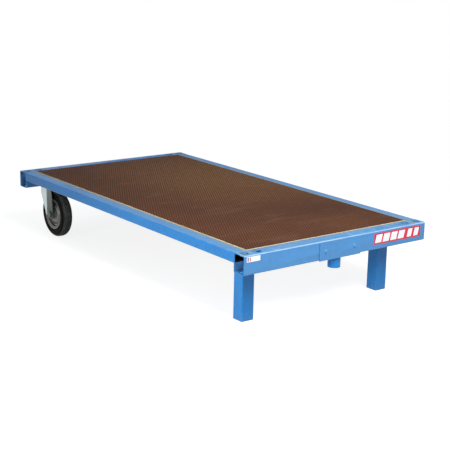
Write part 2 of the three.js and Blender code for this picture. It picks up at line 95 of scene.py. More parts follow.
# %% Place the camera
SENSOR = 36                 # mm
LENS_OVER_SENSOR = 2.4504
AZIMUTH, ELEVATION, ROLL = (math.radians(v) for v in (52.47, 14.48, 1.26))
CAMERA_PLACE = Vector((4.373, -3.161, 1.577))
SHIFT = -0.0266             # sideways, in picture widths


def camera_axes(azimuth, elevation, roll):
    """The camera's own right, up and back directions."""
    back = Vector((math.sin(azimuth) * math.cos(elevation), -math.cos(azimuth) * math.cos(elevation),
                   math.sin(elevation)))
    right = (-back).cross(Vector((0, 0, 1))).normalized()
    up = right.cross(-back)
    return (right * math.cos(roll) + up * math.sin(roll),
            up * math.cos(roll) - right * math.sin(roll), back)


def linked(name, data):
    """A new object in the scene."""
    made = bpy.data.objects.new(name, data)
    bpy.context.collection.objects.link(made)
    return made


camera_data = bpy.data.cameras.new("camera")
camera_data.sensor_width = SENSOR
camera_data.lens = SENSOR * LENS_OVER_SENSOR
camera_data.shift_x = SHIFT
camera_data.clip_end = 200
camera = linked("camera", camera_data)
turn = Matrix(camera_axes(AZIMUTH, ELEVATION, ROLL)).transposed().to_4x4()
camera.matrix_world = Matrix.Translation(CAMERA_PLACE) @ turn
bpy.context.scene.camera = camera
bpy.context.scene.view_settings.view_transform = "Standard"
print("camera", [round(v, 2) for v in CAMERA_PLACE], "lens", round(camera_data.lens, 1), "mm")

# %% [markdown]
# ## Colours, nodes and formulas
# Every finish and every generator here is a tree of nodes built in the script. One function turns a
# colour as a designer writes it, in sRGB hex, into the linear values that Blender computes with. The
# other adds one node of any kind: plain values go to its inputs or settings, and fields are linked.
# A field is an output of a node that can stand in a formula, so two masks multiply as numbers do.

# %% Colour and node helpers


def linear(hex_colour):
    """sRGB hex to linear RGBA."""
    parts = [int(hex_colour[i:i + 2], 16) / 255 for i in (1, 3, 5)]
    return [c / 12.92 if c <= 0.04045 else ((c + 0.055) / 1.055) ** 2.4 for c in parts] + [1.0]


def add(tree, kind, inputs=(), out=0, **settings):
    """Adds a node, with inputs by name or in order. Gives one output, or where out is None all."""
    node = tree.nodes.new(kind)
    for name, value in settings.items():
        setattr(node, name, value)
    for key, value in inputs.items() if isinstance(inputs, dict) else enumerate(inputs):
        if isinstance(value, Field):
            tree.links.new(value.socket, node.inputs[key])
        else:
            node.inputs[key].default_value = value
    fields = {key: Field(tree, socket) for key, socket in [*node.outputs.items(), *enumerate(node.outputs)]}
    return fields if out is None else fields.get(out)


class Field:
    """An output of a node. A formula of fields and numbers adds the nodes that work it out."""

    def __init__(self, tree, socket):
        self.tree, self.socket = tree, socket

    def __add__(self, other):
        return add(self.tree, "ShaderNodeMath", [self, other], operation="ADD")

    def __sub__(self, other):
        return add(self.tree, "ShaderNodeMath", [self, other], operation="SUBTRACT")

    def __rsub__(self, other):
        return add(self.tree, "ShaderNodeMath", [other, self], operation="SUBTRACT")

    def __mul__(self, other):
        return add(self.tree, "ShaderNodeMath", [self, other], operation="MULTIPLY")

    def __truediv__(self, other):
        return add(self.tree, "ShaderNodeMath", [self, other], operation="DIVIDE")

    def mask(self, start, end, least=0, most=1):
        """It climbs from least to most while this field goes from start to end."""
        return add(self.tree, "ShaderNodeMapRange", [self, start, end, least, most])


print("white is", [round(v, 3) for v in linear("#ffffff")[:3]])

# %% [markdown]
# ## Floor, background and light
# A pale studio floor shows the cart's shadow and stays white around it. Near the cart the camera
# sees part glow and part lit plaster, so the shadow is there but light. Further out it sees plain
# white. Rays that light the cart see an ordinary pale floor. The lamps are wide soft boxes, because
# painted steel looks like painted steel when it mirrors large soft shapes.

# %% Floor and background
PLASTER, SHADED, GLOW = 0.6, 0.42, 0.84     # greys of the lit floor, and how much of it glows
SHADOW_REACH = (1.2, 2.6)                   # metres from the middle: full shadow, plain white
ROOM_LIGHT = 0.25


def new_finish(name):
    """An empty node material, its tree, and the object coordinates that patterns read."""
    material = bpy.data.materials.new(name)
    material.use_nodes = True
    material.node_tree.nodes.clear()
    return material, material.node_tree, add(material.node_tree, "ShaderNodeTexCoord", out="Object")


def grey(level):
    return [level, level, level, 1]


def seen_rays(tree):
    """1 for what the camera sees directly, in a reflection or through glass, and 0 otherwise."""
    path = add(tree, "ShaderNodeLightPath", out=None)
    seen = path["Is Camera Ray"]
    for other in ("Is Glossy Ray", "Is Transmission Ray"):
        seen = add(tree, "ShaderNodeMath", [seen, path[other]], operation="MAXIMUM")
    return seen


def make_floor():
    bpy.ops.mesh.primitive_plane_add(size=90, location=(0, 0, 0))
    floor = bpy.context.object
    floor.name = "studio_floor"
    material, tree, place = new_finish("pale studio floor")
    plaster, shaded = (add(tree, "ShaderNodeBsdfDiffuse", [grey(level)]) for level in (PLASTER, SHADED))
    glow, white = (add(tree, "ShaderNodeEmission", [grey(1), level]) for level in (GLOW, 1.0))
    distance = add(tree, "ShaderNodeVectorMath", [place], "Value", operation="LENGTH")
    far = distance.mask(*SHADOW_REACH)
    shown = add(tree, "ShaderNodeMixShader", [far, add(tree, "ShaderNodeAddShader", [shaded, glow]), white])
    surface = add(tree, "ShaderNodeMixShader", [seen_rays(tree), plaster, shown])
    add(tree, "ShaderNodeOutputMaterial", [surface])
    floor.data.materials.append(material)


def make_background():
    world = bpy.data.worlds.new("white room")
    bpy.context.scene.world = world
    world.use_nodes = True
    tree = world.node_tree
    tree.nodes.clear()
    light = add(tree, "ShaderNodeBackground", [[0.93, 0.96, 1, 1], ROOM_LIGHT])
    white = add(tree, "ShaderNodeBackground", [grey(1), 1.0])
    add(tree, "ShaderNodeOutputWorld", [add(tree, "ShaderNodeMixShader", [seen_rays(tree), light, white])])


make_floor()
make_background()
print("floor and background made, room light", ROOM_LIGHT)

# %% Soft boxes


def soft_box(name, place, aim, width, height, watts, spread=180):
    lamp = bpy.data.lights.new(name, "AREA")
    lamp.shape = "RECTANGLE"
    lamp.size, lamp.size_y = width, height
    lamp.energy = watts
    lamp.spread = math.radians(spread)
    box = linked(name, lamp)
    box.location = place
    box.rotation_euler = (Vector(aim) - Vector(place)).to_track_quat("-Z", "Y").to_euler()
    box.visible_camera = False


soft_box("overhead_box", (0.4, 0.2, 3.3), (0.1, 0.0, 0.3), 2.4, 2.2, 4)
soft_box("tow_end_box", (2.9, -0.6, 2.8), (0.9, 0.0, 0.3), 1.8, 1.8, 142)
soft_box("side_box", (0.8, -3.2, 0.75), (0.85, -0.3, 0.2), 1.8, 1.2, 14.5, 75)
print(len(bpy.data.lights), "soft boxes lit")

# %% [markdown]
# ## From outline to steel
# Nearly every piece of the frame starts as an outline: a drawn tube has a rounded rectangle, and a
# pressed channel has a sheet bent at its corners. A modeller could bevel a cube instead, but an
# outline that is pushed along an axis keeps its bend radius and its wall exactly, as a press does.

# %% Outlines


def arc(centre, radius, start, end, steps):
    """Points from one angle to another round a centre."""
    angles = [start + (end - start) * step / steps for step in range(steps + 1)]
    return [Vector((centre[0] + radius * math.cos(a), centre[1] + radius * math.sin(a))) for a in angles]


def rectangle(u0, v0, u1, v1):
    return [Vector(p) for p in ((u0, v0), (u1, v0), (u1, v1), (u0, v1))]


def rounded_outline(width, height, radius, steps=6):
    """A rectangle round (0, 0) with rounded corners."""
    points = []
    for quarter, (u, v) in enumerate(((1, 1), (-1, 1), (-1, -1), (1, -1))):
        corner = (u * (width / 2 - radius), v * (height / 2 - radius))
        points += arc(corner, radius, math.pi / 2 * quarter, math.pi / 2 * (quarter + 1), steps)
    return points


def bent_outline(corners, sheet, radius, steps=6):
    """A sheet bent along a path. The path and the bend radius are those of its middle."""
    corners = [Vector(c) for c in corners]

    def left_of(start, end):
        along = (end - start).normalized()
        return Vector((-along.y, along.x))

    middle_line = [(corners[0], left_of(corners[0], corners[1]))]
    for before, corner, after in zip(corners, corners[1:], corners[2:]):
        into, out = (corner - before).normalized(), (after - corner).normalized()
        turning = math.atan2(into.x * out.y - into.y * out.x, into.dot(out))
        inward = left_of(before, corner) * math.copysign(radius, turning)
        centre = corner - into * radius * math.tan(abs(turning) / 2) + inward
        for step in range(steps + 1):
            bend = Matrix.Rotation(turning * step / steps, 2)
            middle_line.append((centre - bend @ inward, bend @ left_of(before, corner)))
    middle_line.append((corners[-1], left_of(corners[-2], corners[-1])))
    front, back = ([point + normal * sheet / 2 * way for point, normal in middle_line] for way in (1, -1))
    return back + front[::-1]


print("a channel bend has", len(bent_outline([(0, 0), (1, 0), (1, 1)], 0.1, 0.1)), "outline points")

# %% Rings and meshes


def in_space(axis, point, along):
    """A point of an outline, at a place along the axis. The outline lies in the other two axes."""
    u, v = point
    return Vector({"X": (along, u, v), "Y": (u, along, v), "Z": (u, v, along)}[axis])


def circle_ring(radius, along, axis, steps=72, phase=0.0):
    """Points round the axis, or one point where the radius is 0."""
    angles = [2 * math.pi * (step + phase) / steps for step in range(steps if radius > 1e-7 else 1)]
    return [in_space(axis, (radius * math.cos(a), radius * math.sin(a)), along) for a in angles]


def outward(bm):
    """A mesh with its doubles merged and every face turned outwards."""
    bmesh.ops.remove_doubles(bm, verts=bm.verts, dist=1e-6)
    bmesh.ops.recalc_face_normals(bm, faces=bm.faces)
    return written(bm)


def written(bm):
    mesh = bpy.data.meshes.new("mesh")
    bm.to_mesh(mesh)
    bm.free()
    return mesh


print("a ring has", len(circle_ring(1, 0, "Z")), "points unless a piece says otherwise")

# %% Solids from rings


def loft(rings, closed, bore=None, capped=False):
    """Skins rings of points. A ring of one point is a pole. The bore'th skin has material 1."""
    bm = bmesh.new()
    rings = [[bm.verts.new(p) for p in ring] for ring in rings]
    for number in range(len(rings) if closed else len(rings) - 1):
        ring, following = rings[number], rings[(number + 1) % len(rings)]
        for i in range(max(len(ring), len(following))):
            corners = [ring[i % len(ring)], ring[(i + 1) % len(ring)],
                       following[(i + 1) % len(following)], following[i % len(following)]]
            face = bm.faces.new([c for n, c in enumerate(corners) if c not in corners[:n]])
            face.material_index = 1 if number == bore else 0
    if capped:
        bm.faces.new(rings[0])
        bm.faces.new(rings[-1])
    return outward(bm)


def prism(outline, axis, start, end, inner=None):
    """A solid bar, or with an inner outline of as many points a tube."""
    loops = [(outline, start), (outline, end)] + ([(inner, end), (inner, start)] if inner else [])
    rings = [[in_space(axis, p, along) for p in points] for points, along in loops]
    return loft(rings, bool(inner), bore=2 if inner else None, capped=not inner)


def lathe(profile, centre, axis, steps=64, closed=True):
    """A profile of (radius, along) points, turned round the axis through centre."""
    centre = Vector(centre)
    rings = [[p + centre for p in circle_ring(radius, along, axis, steps)] for radius, along in profile]
    return loft(rings, closed)


def joined(*meshes):
    """Several meshes as one."""
    bm = bmesh.new()
    for mesh in meshes:
        bm.from_mesh(mesh)
    return written(bm)


print("a rail has", len(rounded_outline(*size("left_side_tube").yz, TUBE_CORNER)), "points round it")

# %% [markdown]
# ## Finishing a piece
# Sawn and pressed steel has no perfectly sharp arris: each one is broken by half a millimetre, and
# that thin bright line is what makes a rendered edge look real. A Bevel modifier breaks the sharp
# arrises only, and a Weighted Normal modifier keeps the large faces flat. Both are applied, so that
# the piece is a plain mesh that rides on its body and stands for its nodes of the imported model.

# %% Finish a mesh and add it as a piece
ARRIS = 0.5 * MM


def evaluated(mesh, set_modifiers):
    """The mesh after the modifiers that set_modifiers adds."""
    helper = linked("helper", mesh)
    set_modifiers(helper)
    graph = bpy.context.evaluated_depsgraph_get()
    result = bpy.data.meshes.new_from_object(helper.evaluated_get(graph), depsgraph=graph)
    bpy.data.objects.remove(helper)
    return result


def broken_arrises(mesh, width=ARRIS, segments=2, sharper_than=35):
    """Every arris sharper than the angle gets a small round, and flat faces stay flat."""
    mesh.polygons.foreach_set("use_smooth", [True] * len(mesh.polygons))

    def set_modifiers(helper):
        if width:
            arris = helper.modifiers.new("arris", "BEVEL")
            arris.width = width
            arris.segments = segments
            arris.limit_method = "ANGLE"
            arris.angle_limit = math.radians(sharper_than)
        helper.modifiers.new("flat faces", "WEIGHTED_NORMAL").keep_sharp = True

    return evaluated(mesh, set_modifiers)


def add_piece(name, mesh, finishes, slot, stands_for=(), body="cart"):
    """Adds a finished mesh as a named piece of the cart. Where one finish is given, it covers the whole of
    it.
    """
    mesh.name = name
    if len(finishes) == 1:
        mesh.materials.clear()
        for polygon in mesh.polygons:
            polygon.material_index = 0
    for finish in finishes:
        mesh.materials.append(finish)
    piece = linked(name, mesh)
    if stands_for:
        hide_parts(*stands_for)
    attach(piece, body)


print("arrises are broken by", ARRIS / MM, "mm unless a piece says otherwise")

# %% [markdown]
# ## Generators
# What repeats, such as holes, bolts and the ripples of a weld, is made by Geometry Nodes. Each
# generator is a node tree with named inputs for its sizes. A mesh goes in with its sizes, the tree is
# evaluated once, and its result is kept as a plain mesh.

# %% Build and run a generator
SOCKETS = {"length": "NodeSocketFloat", "vector": "NodeSocketVector", "object": "NodeSocketObject",
           "material": "NodeSocketMaterial"}


def new_generator(name, **inputs):
    """A Geometry Nodes tree, its group input's fields, and a function that closes the tree."""
    tree = bpy.data.node_groups.new(name, "GeometryNodeTree")
    tree.interface.new_socket("Geometry", in_out="INPUT", socket_type="NodeSocketGeometry")
    for title, kind in {**inputs, "finish": "material"}.items():
        tree.interface.new_socket(title, in_out="INPUT", socket_type=SOCKETS[kind])
    tree.interface.new_socket("Geometry", in_out="OUTPUT", socket_type="NodeSocketGeometry")
    given = add(tree, "NodeGroupInput", out=None)

    def close(geometry):
        real = add(tree, "GeometryNodeRealizeInstances", [geometry])
        painted = add(tree, "GeometryNodeSetMaterial", {0: real, "Material": given["finish"]})
        add(tree, "NodeGroupOutput", [painted])
        return tree

    return tree, given, close


def grown(tree, mesh, **values):
    """A generator's result as a plain mesh. A value that is a mesh is handed over as an object."""
    helpers = {title: linked("helper", value) for title, value in values.items()
               if isinstance(value, bpy.types.Mesh)}
    identifiers = {item.name: item.identifier for item in tree.interface.items_tree
                   if item.in_out == "INPUT"}

    def set_modifiers(helper):
        modifier = helper.modifiers.new(tree.name, "NODES")
        modifier.node_group = tree
        for title, value in {**values, **helpers}.items():
            modifier[identifiers[title]] = value

    result = evaluated(mesh, set_modifiers)
    for helper in helpers.values():
        bpy.data.objects.remove(helper)
    return result


def points_mesh(points, edges=()):
    """Bare points, or a path where edges join them."""
    mesh = bpy.data.meshes.new("points")
    mesh.from_pydata([tuple(p) for p in points], list(edges), [])
    return mesh


print("generators read", ", ".join(SOCKETS))

# %% [markdown]
# ## How a finish is built up
# No finish has one flat colour. Each starts with two tones in soft patches, gets dirt, wear or
# fading over them, and ends with a relief of real height. Noise gives the patches: its scale says
# how many there are in a metre, so paint's orange peel has hundreds and a stain a few dozen. A tint
# lays one colour over another where a mask is 1.

# %% Patches, tints and the end of a finish


def patches(tree, place, scale, detail=2, start=0, end=1, stretch=None, swirl=0, least=0, most=1):
    """Noise with about scale patches a metre. From start to end it climbs from least to most."""
    if stretch:
        place = add(tree, "ShaderNodeMapping", {"Vector": place, "Scale": stretch})
    field = add(tree, "ShaderNodeTexNoise",
                {"Vector": place, "Scale": scale, "Detail": detail, "Distortion": swirl})
    return field if (start, end) == (0, 1) else field.mask(start, end, least, most)


def tinted(tree, colour, over, mask, strength=1.0):
    """A colour, covered by another where the mask is 1. Each is sRGB hex or a field."""
    colour, over = (linear(c) if isinstance(c, str) else c for c in (colour, over))
    amount = mask if strength == 1 else mask * strength
    return add(tree, "ShaderNodeMix", {0: amount, 6: colour, 7: over}, out=2, data_type="RGBA")


def finished(material, tree, colour, rough, height, rise, strength, metal=0.0, specular=0.5):
    """Ends a finish. Its relief rises by rise, in metres, where height goes from 0 to 1."""
    relief = add(tree, "ShaderNodeBump", {"Height": height, "Distance": rise, "Strength": strength})
    shader = add(tree, "ShaderNodeBsdfPrincipled", {
        "Base Color": colour, "Roughness": rough, "Metallic": metal, "Specular IOR Level": specular,
        "Normal": relief})
    add(tree, "ShaderNodeOutputMaterial", [shader])
    return material


def mottled(name, tones, spots, relief, rough, metal=0.0, stain=None, specular=0.5):
    """A finish of two tones, and a stain of (colour, strength, patches) over them."""
    material, tree, place = new_finish(name)
    mask = patches(tree, place, **spots)
    colour = tinted(tree, *tones, mask)
    if stain:
        colour = tinted(tree, colour, stain[0], patches(tree, place, **stain[2]), stain[1])
    height = patches(tree, place, **relief[0]) if relief[0] else mask
    rough = patches(tree, place, **rough) if isinstance(rough, dict) else rough
    return finished(material, tree, colour, rough, height, *relief[1:], metal, specular)


print("a patch of scale 60 is about", round(1 / 60 / MM), "mm wide")

# %% [markdown]
# ## Blue enamel
# The frame is degreased, sprayed with a blue alkyd enamel and baked. That gives a satin gloss, a
# faint orange peel, and a tone that varies a little from one pass of the spray gun to the next. Loads
# slide over the upward faces, so these are scuffed and chalky, and the paint is thin along the upper
# outer arrises. The scuffs follow the length of each rail, because crates are pushed along it.
# Some tints here are painted light: tops painted darker towards the rear, a paler front web, and a highlight
# along the top bend of each web.

# %% Enamel for the frame
MIDDLE_X = middle("left_side_tube").x
DUST_WIDTH = 22 * MM        # of the dust beside the deck
THIN_PAINT = 3 * MM         # how far paint is thin from an outer arris
LEG_DIRT = 45 * MM          # how high floor dirt reaches


def chalk_and_dust(tree, place, spot, colour, top):
    """Wear of the faces that look up. The chalk thins towards the rear, which is partly wear and partly
    painted shade. Gives the colour, and how worn each place is.
    """
    wear_and_painted_light = spot["X"].mask(RAIL_LOW.x, RAIL_HIGH.x, 0.1, 1)      # more near the tow end: wear, and painted light that darkens the rear
    blotch = patches(tree, place, 7, 4, 0.38, 0.66, (1, 1.6, 1), 0.4)
    rub = patches(tree, place, 55, 5, 0.46, 0.66, (0.22, 1.3, 1), 0.3)
    fleck = patches(tree, place, 210, 3, 0.60, 0.70)
    scuffs = add(tree, "ShaderNodeMath", [rub * 0.75, fleck], operation="ADD", use_clamp=True)
    worn = blotch * scuffs
    colour = tinted(tree, colour, "#a6bfa4", (worn * 0.5 + 0.10) * wear_and_painted_light * top)
    # dust lies in the joint beside the deck
    across = add(tree, "ShaderNodeMath", [spot["Y"]], operation="ABSOLUTE")
    joint = across.mask(DECK_HIGH.y + DUST_WIDTH, DECK_HIGH.y + 3 * MM)
    joint = joint * across.mask(DECK_HIGH.y, DECK_HIGH.y + 1 * MM)
    joint = joint * patches(tree, place, 30, 4, 0.3, 0.6, (0.4, 1, 1), least=0.3, most=0.8)
    return tinted(tree, colour, "#7f8f6e", joint * top), across, worn


def bare_edges_and_crest_highlight(tree, place, spot, across, colour):
    """Thin paint on the outer arrises of the frame's top, and a painted highlight along the top bend of each
    web.
    """
    edge = spot["Z"].mask(RAIL_HIGH.z - THIN_PAINT, RAIL_HIGH.z - 0.4 * MM)
    edge = edge * across.mask(RAIL_HIGH.y - THIN_PAINT, RAIL_HIGH.y - 0.4 * MM)
    chips = patches(tree, place, 34, 5, 0.45, 0.62, (0.5, 1, 1), 0.5)
    colour = tinted(tree, colour, "#c9cdcf", edge * chips, 0.6)
    # painted highlight: a pale blue-white line along the top bend of each web
    along = add(tree, "ShaderNodeMath", [spot["X"] - MIDDLE_X], operation="ABSOLUTE")
    web = high("front_channel_left").x - MIDDLE_X
    crest_highlight = along.mask(web - 5 * MM, web - 1.5 * MM)
    crest_highlight = crest_highlight * spot["Z"].mask(RAIL_HIGH.z - 5.5 * MM, RAIL_HIGH.z - 2.5 * MM)
    patch = patches(tree, place, 9, 5, 0.3, 0.6, swirl=0.4, least=0.3, most=0.75)
    return tinted(tree, colour, "#bfdcf2", crest_highlight * patch)


def blue_enamel():
    material, tree, place = new_finish("blue baked enamel")
    facing = add(tree, "ShaderNodeTexCoord", out="Normal")
    facing, spot = (add(tree, "ShaderNodeSeparateXYZ", [field], out=None) for field in (facing, place))
    top = facing["Z"].mask(0.75, 0.97)
    colour = tinted(tree, "#0f6daf", "#1a77bb", patches(tree, place, 5, 3, 0.3, 0.7))
    colour = tinted(tree, colour, "#4f93cf", patches(tree, place, 60, 3, 0.35, 0.65), 0.10)
    colour, across, worn = chalk_and_dust(tree, place, spot, colour, top)
    # the front web is painted paler: partly fading, and partly painted light that makes it look more lit
    # than the leg fronts
    faded_and_lit = spot["Z"].mask(low("coupling_plate").z - 4 * MM, low("coupling_plate").z, 0, 0.16)
    colour = tinted(tree, colour, "#9fb8b8", faded_and_lit * facing["X"].mask(0.5, 0.9))
    colour = bare_edges_and_crest_highlight(tree, place, spot, across, colour)
    # floor dirt and knocks low on the legs
    dirt = spot["Z"].mask(LEG_DIRT, 2 * MM) * patches(tree, place, 70, 4, 0.42, 0.68)
    colour = tinted(tree, colour, "#6f7f8b", dirt, 0.45)
    dull = add(tree, "ShaderNodeMath", [worn * top, dirt], operation="ADD", use_clamp=True)
    return finished(material, tree, colour, dull * 0.32 + 0.33, patches(tree, place, 420), 0.05 * MM, 0.35,
                    specular=0.28 - top * 0.18)


ENAMEL = blue_enamel()
print("finish:", ENAMEL.name, "with", len(ENAMEL.node_tree.nodes), "nodes")

# %% [markdown]
# ## Steel without paint, zinc, bronze and rubber
# The castors are bought in. Their brackets and screws are electroplated with zinc: a metal with a
# faint cloudy grain that turns grey and slightly green with age. The rims are pressed steel in
# silver-grey paint, the bush is sintered bronze, and the tyre is carbon-black rubber, which is
# rougher and dustier on its tread than on its moulded sidewalls. The finishes that are only two
# tones and a stain are one call each.

# %% Plain finishes
# inside a drawn tube: hot-rolled steel, matt blue-black with its oxide, and some rust
BORE = mottled("mill scale steel", ("#191b1f", "#3a2a20"),
               dict(scale=26, detail=5, start=0.52, end=0.72, swirl=0.6),
               (dict(scale=300, detail=3), 0.08 * MM, 0.6), 0.62, 0.25)
# inside a stake hole: painted shade in a dark navy, with paint rubbed through to olive steel, drawn up and
# down by the stakes
STAKE_WORN_AND_SHADED = mottled("stake-worn steel in painted shade", ("#1d4468", "#86865f"),
                     dict(scale=38, detail=4, start=0.4, end=0.6, stretch=(1, 1, 0.3), swirl=0.5),
                     (dict(scale=260, detail=3, stretch=(1, 1, 0.15)), 0.08 * MM, 0.6), 0.6, 0.15)
# bright cloudy metal with grey-green age
ZINC = mottled("electroplated zinc", ("#c3c8c4", "#dcdfdf"),
               dict(scale=22, detail=4, start=0.3, end=0.7, swirl=0.5),
               (dict(scale=500), 0.03 * MM, 0.3),
               dict(scale=130, detail=3, start=0.3, end=0.7, least=0.34, most=0.52), 0.85,
               ("#8f9788", 0.5, dict(scale=60, detail=5, start=0.52, end=0.75, swirl=1)))
# screws and nuts: the zinc has gone dull under a film of grease and dust
AGED = mottled("greasy aged steel", ("#565c4f", "#7d8474"),
               dict(scale=90, detail=4, start=0.3, end=0.7, swirl=0.5),
               (dict(scale=400), 0.04 * MM, 0.4), 0.5, 0.45)
# semi-gloss paint, with patches of brake dust and floor dirt
RIM_PAINT = mottled("silver grey rim paint", ("#696965", "#7e7e79"),
                    dict(scale=30, detail=3, start=0.3, end=0.7),
                    (dict(scale=350), 0.04 * MM, 0.4), 0.44, 0.35,
                    ("#3f3d39", 0.55, dict(scale=75, detail=5, start=0.45, end=0.7, swirl=0.6)))
# a dull gold metal with fine dark pores
BRONZE = mottled("oiled sintered bronze", ("#8d6b3c", "#b08a52"),
                 dict(scale=900, start=0.45, end=0.6), (None, 0.03 * MM, 0.5), 0.42, 1.0)
print("finishes:", ", ".join(m.name for m in (BORE, STAKE_WORN_AND_SHADED, ZINC, AGED, RIM_PAINT, BRONZE)))

# %% Zinc of the forks
AXLE = middle("left_wheel_hub")
SHADED_BAND_FROM = (-38 * MM, -33 * MM)      # ahead of the axle: where the painted shade of the front band starts
CREASE_FROM = (-46 * MM, -40 * MM)


def zinc_with_painted_shade():
    """The fork's zinc, with painted shade: the front band of each arm is painted a dull olive, darker
    towards the axle.
    """
    material, tree, place = new_finish("zinc with a painted shade band")
    spot = add(tree, "ShaderNodeSeparateXYZ", [place], out=None)
    colour = tinted(tree, "#b9c8cc", "#d3dde0", patches(tree, place, 24, 4, 0.3, 0.7, swirl=0.5))
    edge = spot["X"] - AXLE.x + patches(tree, place, 60, 3) * (3 * MM)
    # painted shade: the arm's front band, ahead of the crease
    shaded_band = edge.mask(*SHADED_BAND_FROM)
    high_up = spot["Z"].mask(AXLE.z - 10 * MM, low("left_castor_plate").z)
    colour = tinted(tree, colour, tinted(tree, "#4c5550", "#77817a", high_up), shaded_band)
    # painted half shade along the crease, between the shaded band and the bright wing
    colour = tinted(tree, colour, "#93a59b", edge.mask(*CREASE_FROM) * (1.0 - shaded_band), 0.5)
    return finished(material, tree, colour, shaded_band * 0.14 + 0.40, patches(tree, place, 500), 0.03 * MM, 0.3,
                    0.8 - shaded_band * 0.3)


FORK_ZINC = zinc_with_painted_shade()
print("finish:", FORK_ZINC.name)

# %% Rubber of the tyres
TREAD_FROM = (11 * MM, 3 * MM)          # inside the tyre's radius: where the dusty tread starts


def tyre_rubber():
    material, tree, place = new_finish("moulded carbon-black rubber")
    spot = add(tree, "ShaderNodeSeparateXYZ", [place], out=None)
    from_axle, above_axle = spot["X"] - AXLE.x, spot["Z"] - AXLE.z
    squares = from_axle * from_axle + above_axle * above_axle
    radius = add(tree, "ShaderNodeMath", [squares], operation="SQRT")
    tread = radius.mask(*(size("left_tyre").x / 2 - inset for inset in TREAD_FROM))
    dust = patches(tree, place, 45, 5, 0.35, 0.68, swirl=0.5)
    dusty = tread * (dust * 0.5 + 0.5)
    colour = tinted(tree, tinted(tree, "#040403", "#121110", dust, 0.3), "#62615d", dusty)
    return finished(material, tree, colour, dusty * 0.28 + 0.5, patches(tree, place, 380, 3),
                    0.06 * MM, 0.5, specular=0.04)


RUBBER = tyre_rubber()
print("finish:", RUBBER.name)

# %% [markdown]
# ## Film-faced plywood
# The deck is birch plywood faced with a brown phenolic film. A wire cloth is pressed into the hot
# film, and leaves a hexagonal anti-slip print. The mesh is worked out by nodes: a point is folded
# into the nearest of two offset grids of cells, and its distance to the cell's edge gives the wire.
# A real print is finer, at about 6 mm, and is drawn wider here so that it still shows from where a
# person stands. The panel's arrises are bare, so they show the pale and dark veneers.

# %% The wire print
PRINT_PITCH = 13 * MM       # between neighbouring cells of the wire print
PRINT_DEPTH = 0.35 * MM
GRID_START = (200.0, 200.0, 0.0)        # metres: keeps every point on the positive side of the grid


def cell_edge(tree, place, pitch):
    """Distance from a hexagon's edge, from 0 on the edge to 0.5 at its middle."""

    def steps(field, *pairs):
        """Vector sums, one after another: each pair is an operation and its second value."""
        for operation, value in pairs:
            field = add(tree, "ShaderNodeVectorMath", [field, value], operation=operation)
        return field

    scaled = steps(place, ("ADD", GRID_START), ("MULTIPLY", [1 / pitch] * 3))
    period, half = (1.0, math.sqrt(3), 1.0), (0.5, math.sqrt(3) / 2, 0.5)
    grids = [steps(scaled, ("SUBTRACT", start), ("MODULO", period), ("SUBTRACT", half),
                   ("MULTIPLY", (1, 1, 0))) for start in ((0, 0, 0), half)]
    away = [add(tree, "ShaderNodeVectorMath", [grid], "Value", operation="LENGTH") for grid in grids]
    nearer = add(tree, "ShaderNodeMath", away[::-1], operation="LESS_THAN")
    nearest = add(tree, "ShaderNodeMix", {0: nearer, 4: grids[0], 5: grids[1]}, 1, data_type="VECTOR")
    side = add(tree, "ShaderNodeVectorMath", [nearest], operation="ABSOLUTE")
    slanted = add(tree, "ShaderNodeVectorMath", [side, (0.5, math.sqrt(3) / 2, 0)], "Value",
                  operation="DOT_PRODUCT")
    upright = add(tree, "ShaderNodeSeparateXYZ", [side], "X")
    return 0.5 - add(tree, "ShaderNodeMath", [slanted, upright], operation="MAXIMUM")


print("deck print every", round(PRINT_PITCH / MM), "mm,", PRINT_DEPTH / MM, "mm deep")

# %% Deck finishes
PLY_VENEERS = 9
SHEEN_AT = (-0.32, 0.30, DECK_HIGH.z)    # middle of the painted sheen


def phenolic_film():
    """Satin brown film, with a painted sheen in the rear half and painted shade towards the rear of the
    right rail.
    """
    material, tree, place = new_finish("brown phenolic film with wire print")
    # a quarter turn puts rows of cells at thirty degrees to the deck's length
    turned = add(tree, "ShaderNodeMapping", {"Vector": place, "Rotation": (0, 0, math.pi / 2)})
    wire = cell_edge(tree, turned, PRINT_PITCH).mask(0.20, 0.06)
    spot = add(tree, "ShaderNodeSeparateXYZ", [place], out=None)
    colour = tinted(tree, "#593521", "#6d432b", patches(tree, place, 2.4, 4, 0.3, 0.7, swirl=0.3))
    # painted sheen: a pale patch in the rear half of the deck, left of the middle
    from_sheen = add(tree, "ShaderNodeVectorMath", [place, SHEEN_AT], "Value", operation="DISTANCE")
    colour = tinted(tree, colour, "#9a7145", from_sheen.mask(0.78, 0.12, 0, 0.54))
    # painted shade: darker towards the rear along the right rail
    painted_shade_by_right_rail = spot["X"].mask(0.3, -0.5) * spot["Y"].mask(-0.02, -0.28)
    colour = tinted(tree, colour, "#2f170c", painted_shade_by_right_rail, 0.30)
    cloud = patches(tree, place, 38, 4, 0.35, 0.7)
    colour = tinted(tree, colour, "#75503d", cloud, 0.22)
    colour = tinted(tree, colour, "#1d120e", wire, 0.9)
    rub = patches(tree, place, 16, 5, 0.55, 0.78, (1, 0.25, 1), 0.5)
    colour = tinted(tree, colour, "#8c7160", rub, 0.12)
    return finished(material, tree, colour, cloud.mask(0, 1, 0.58, 0.70), 1.0 - wire,
                    PRINT_DEPTH, 0.7, specular=0.03)


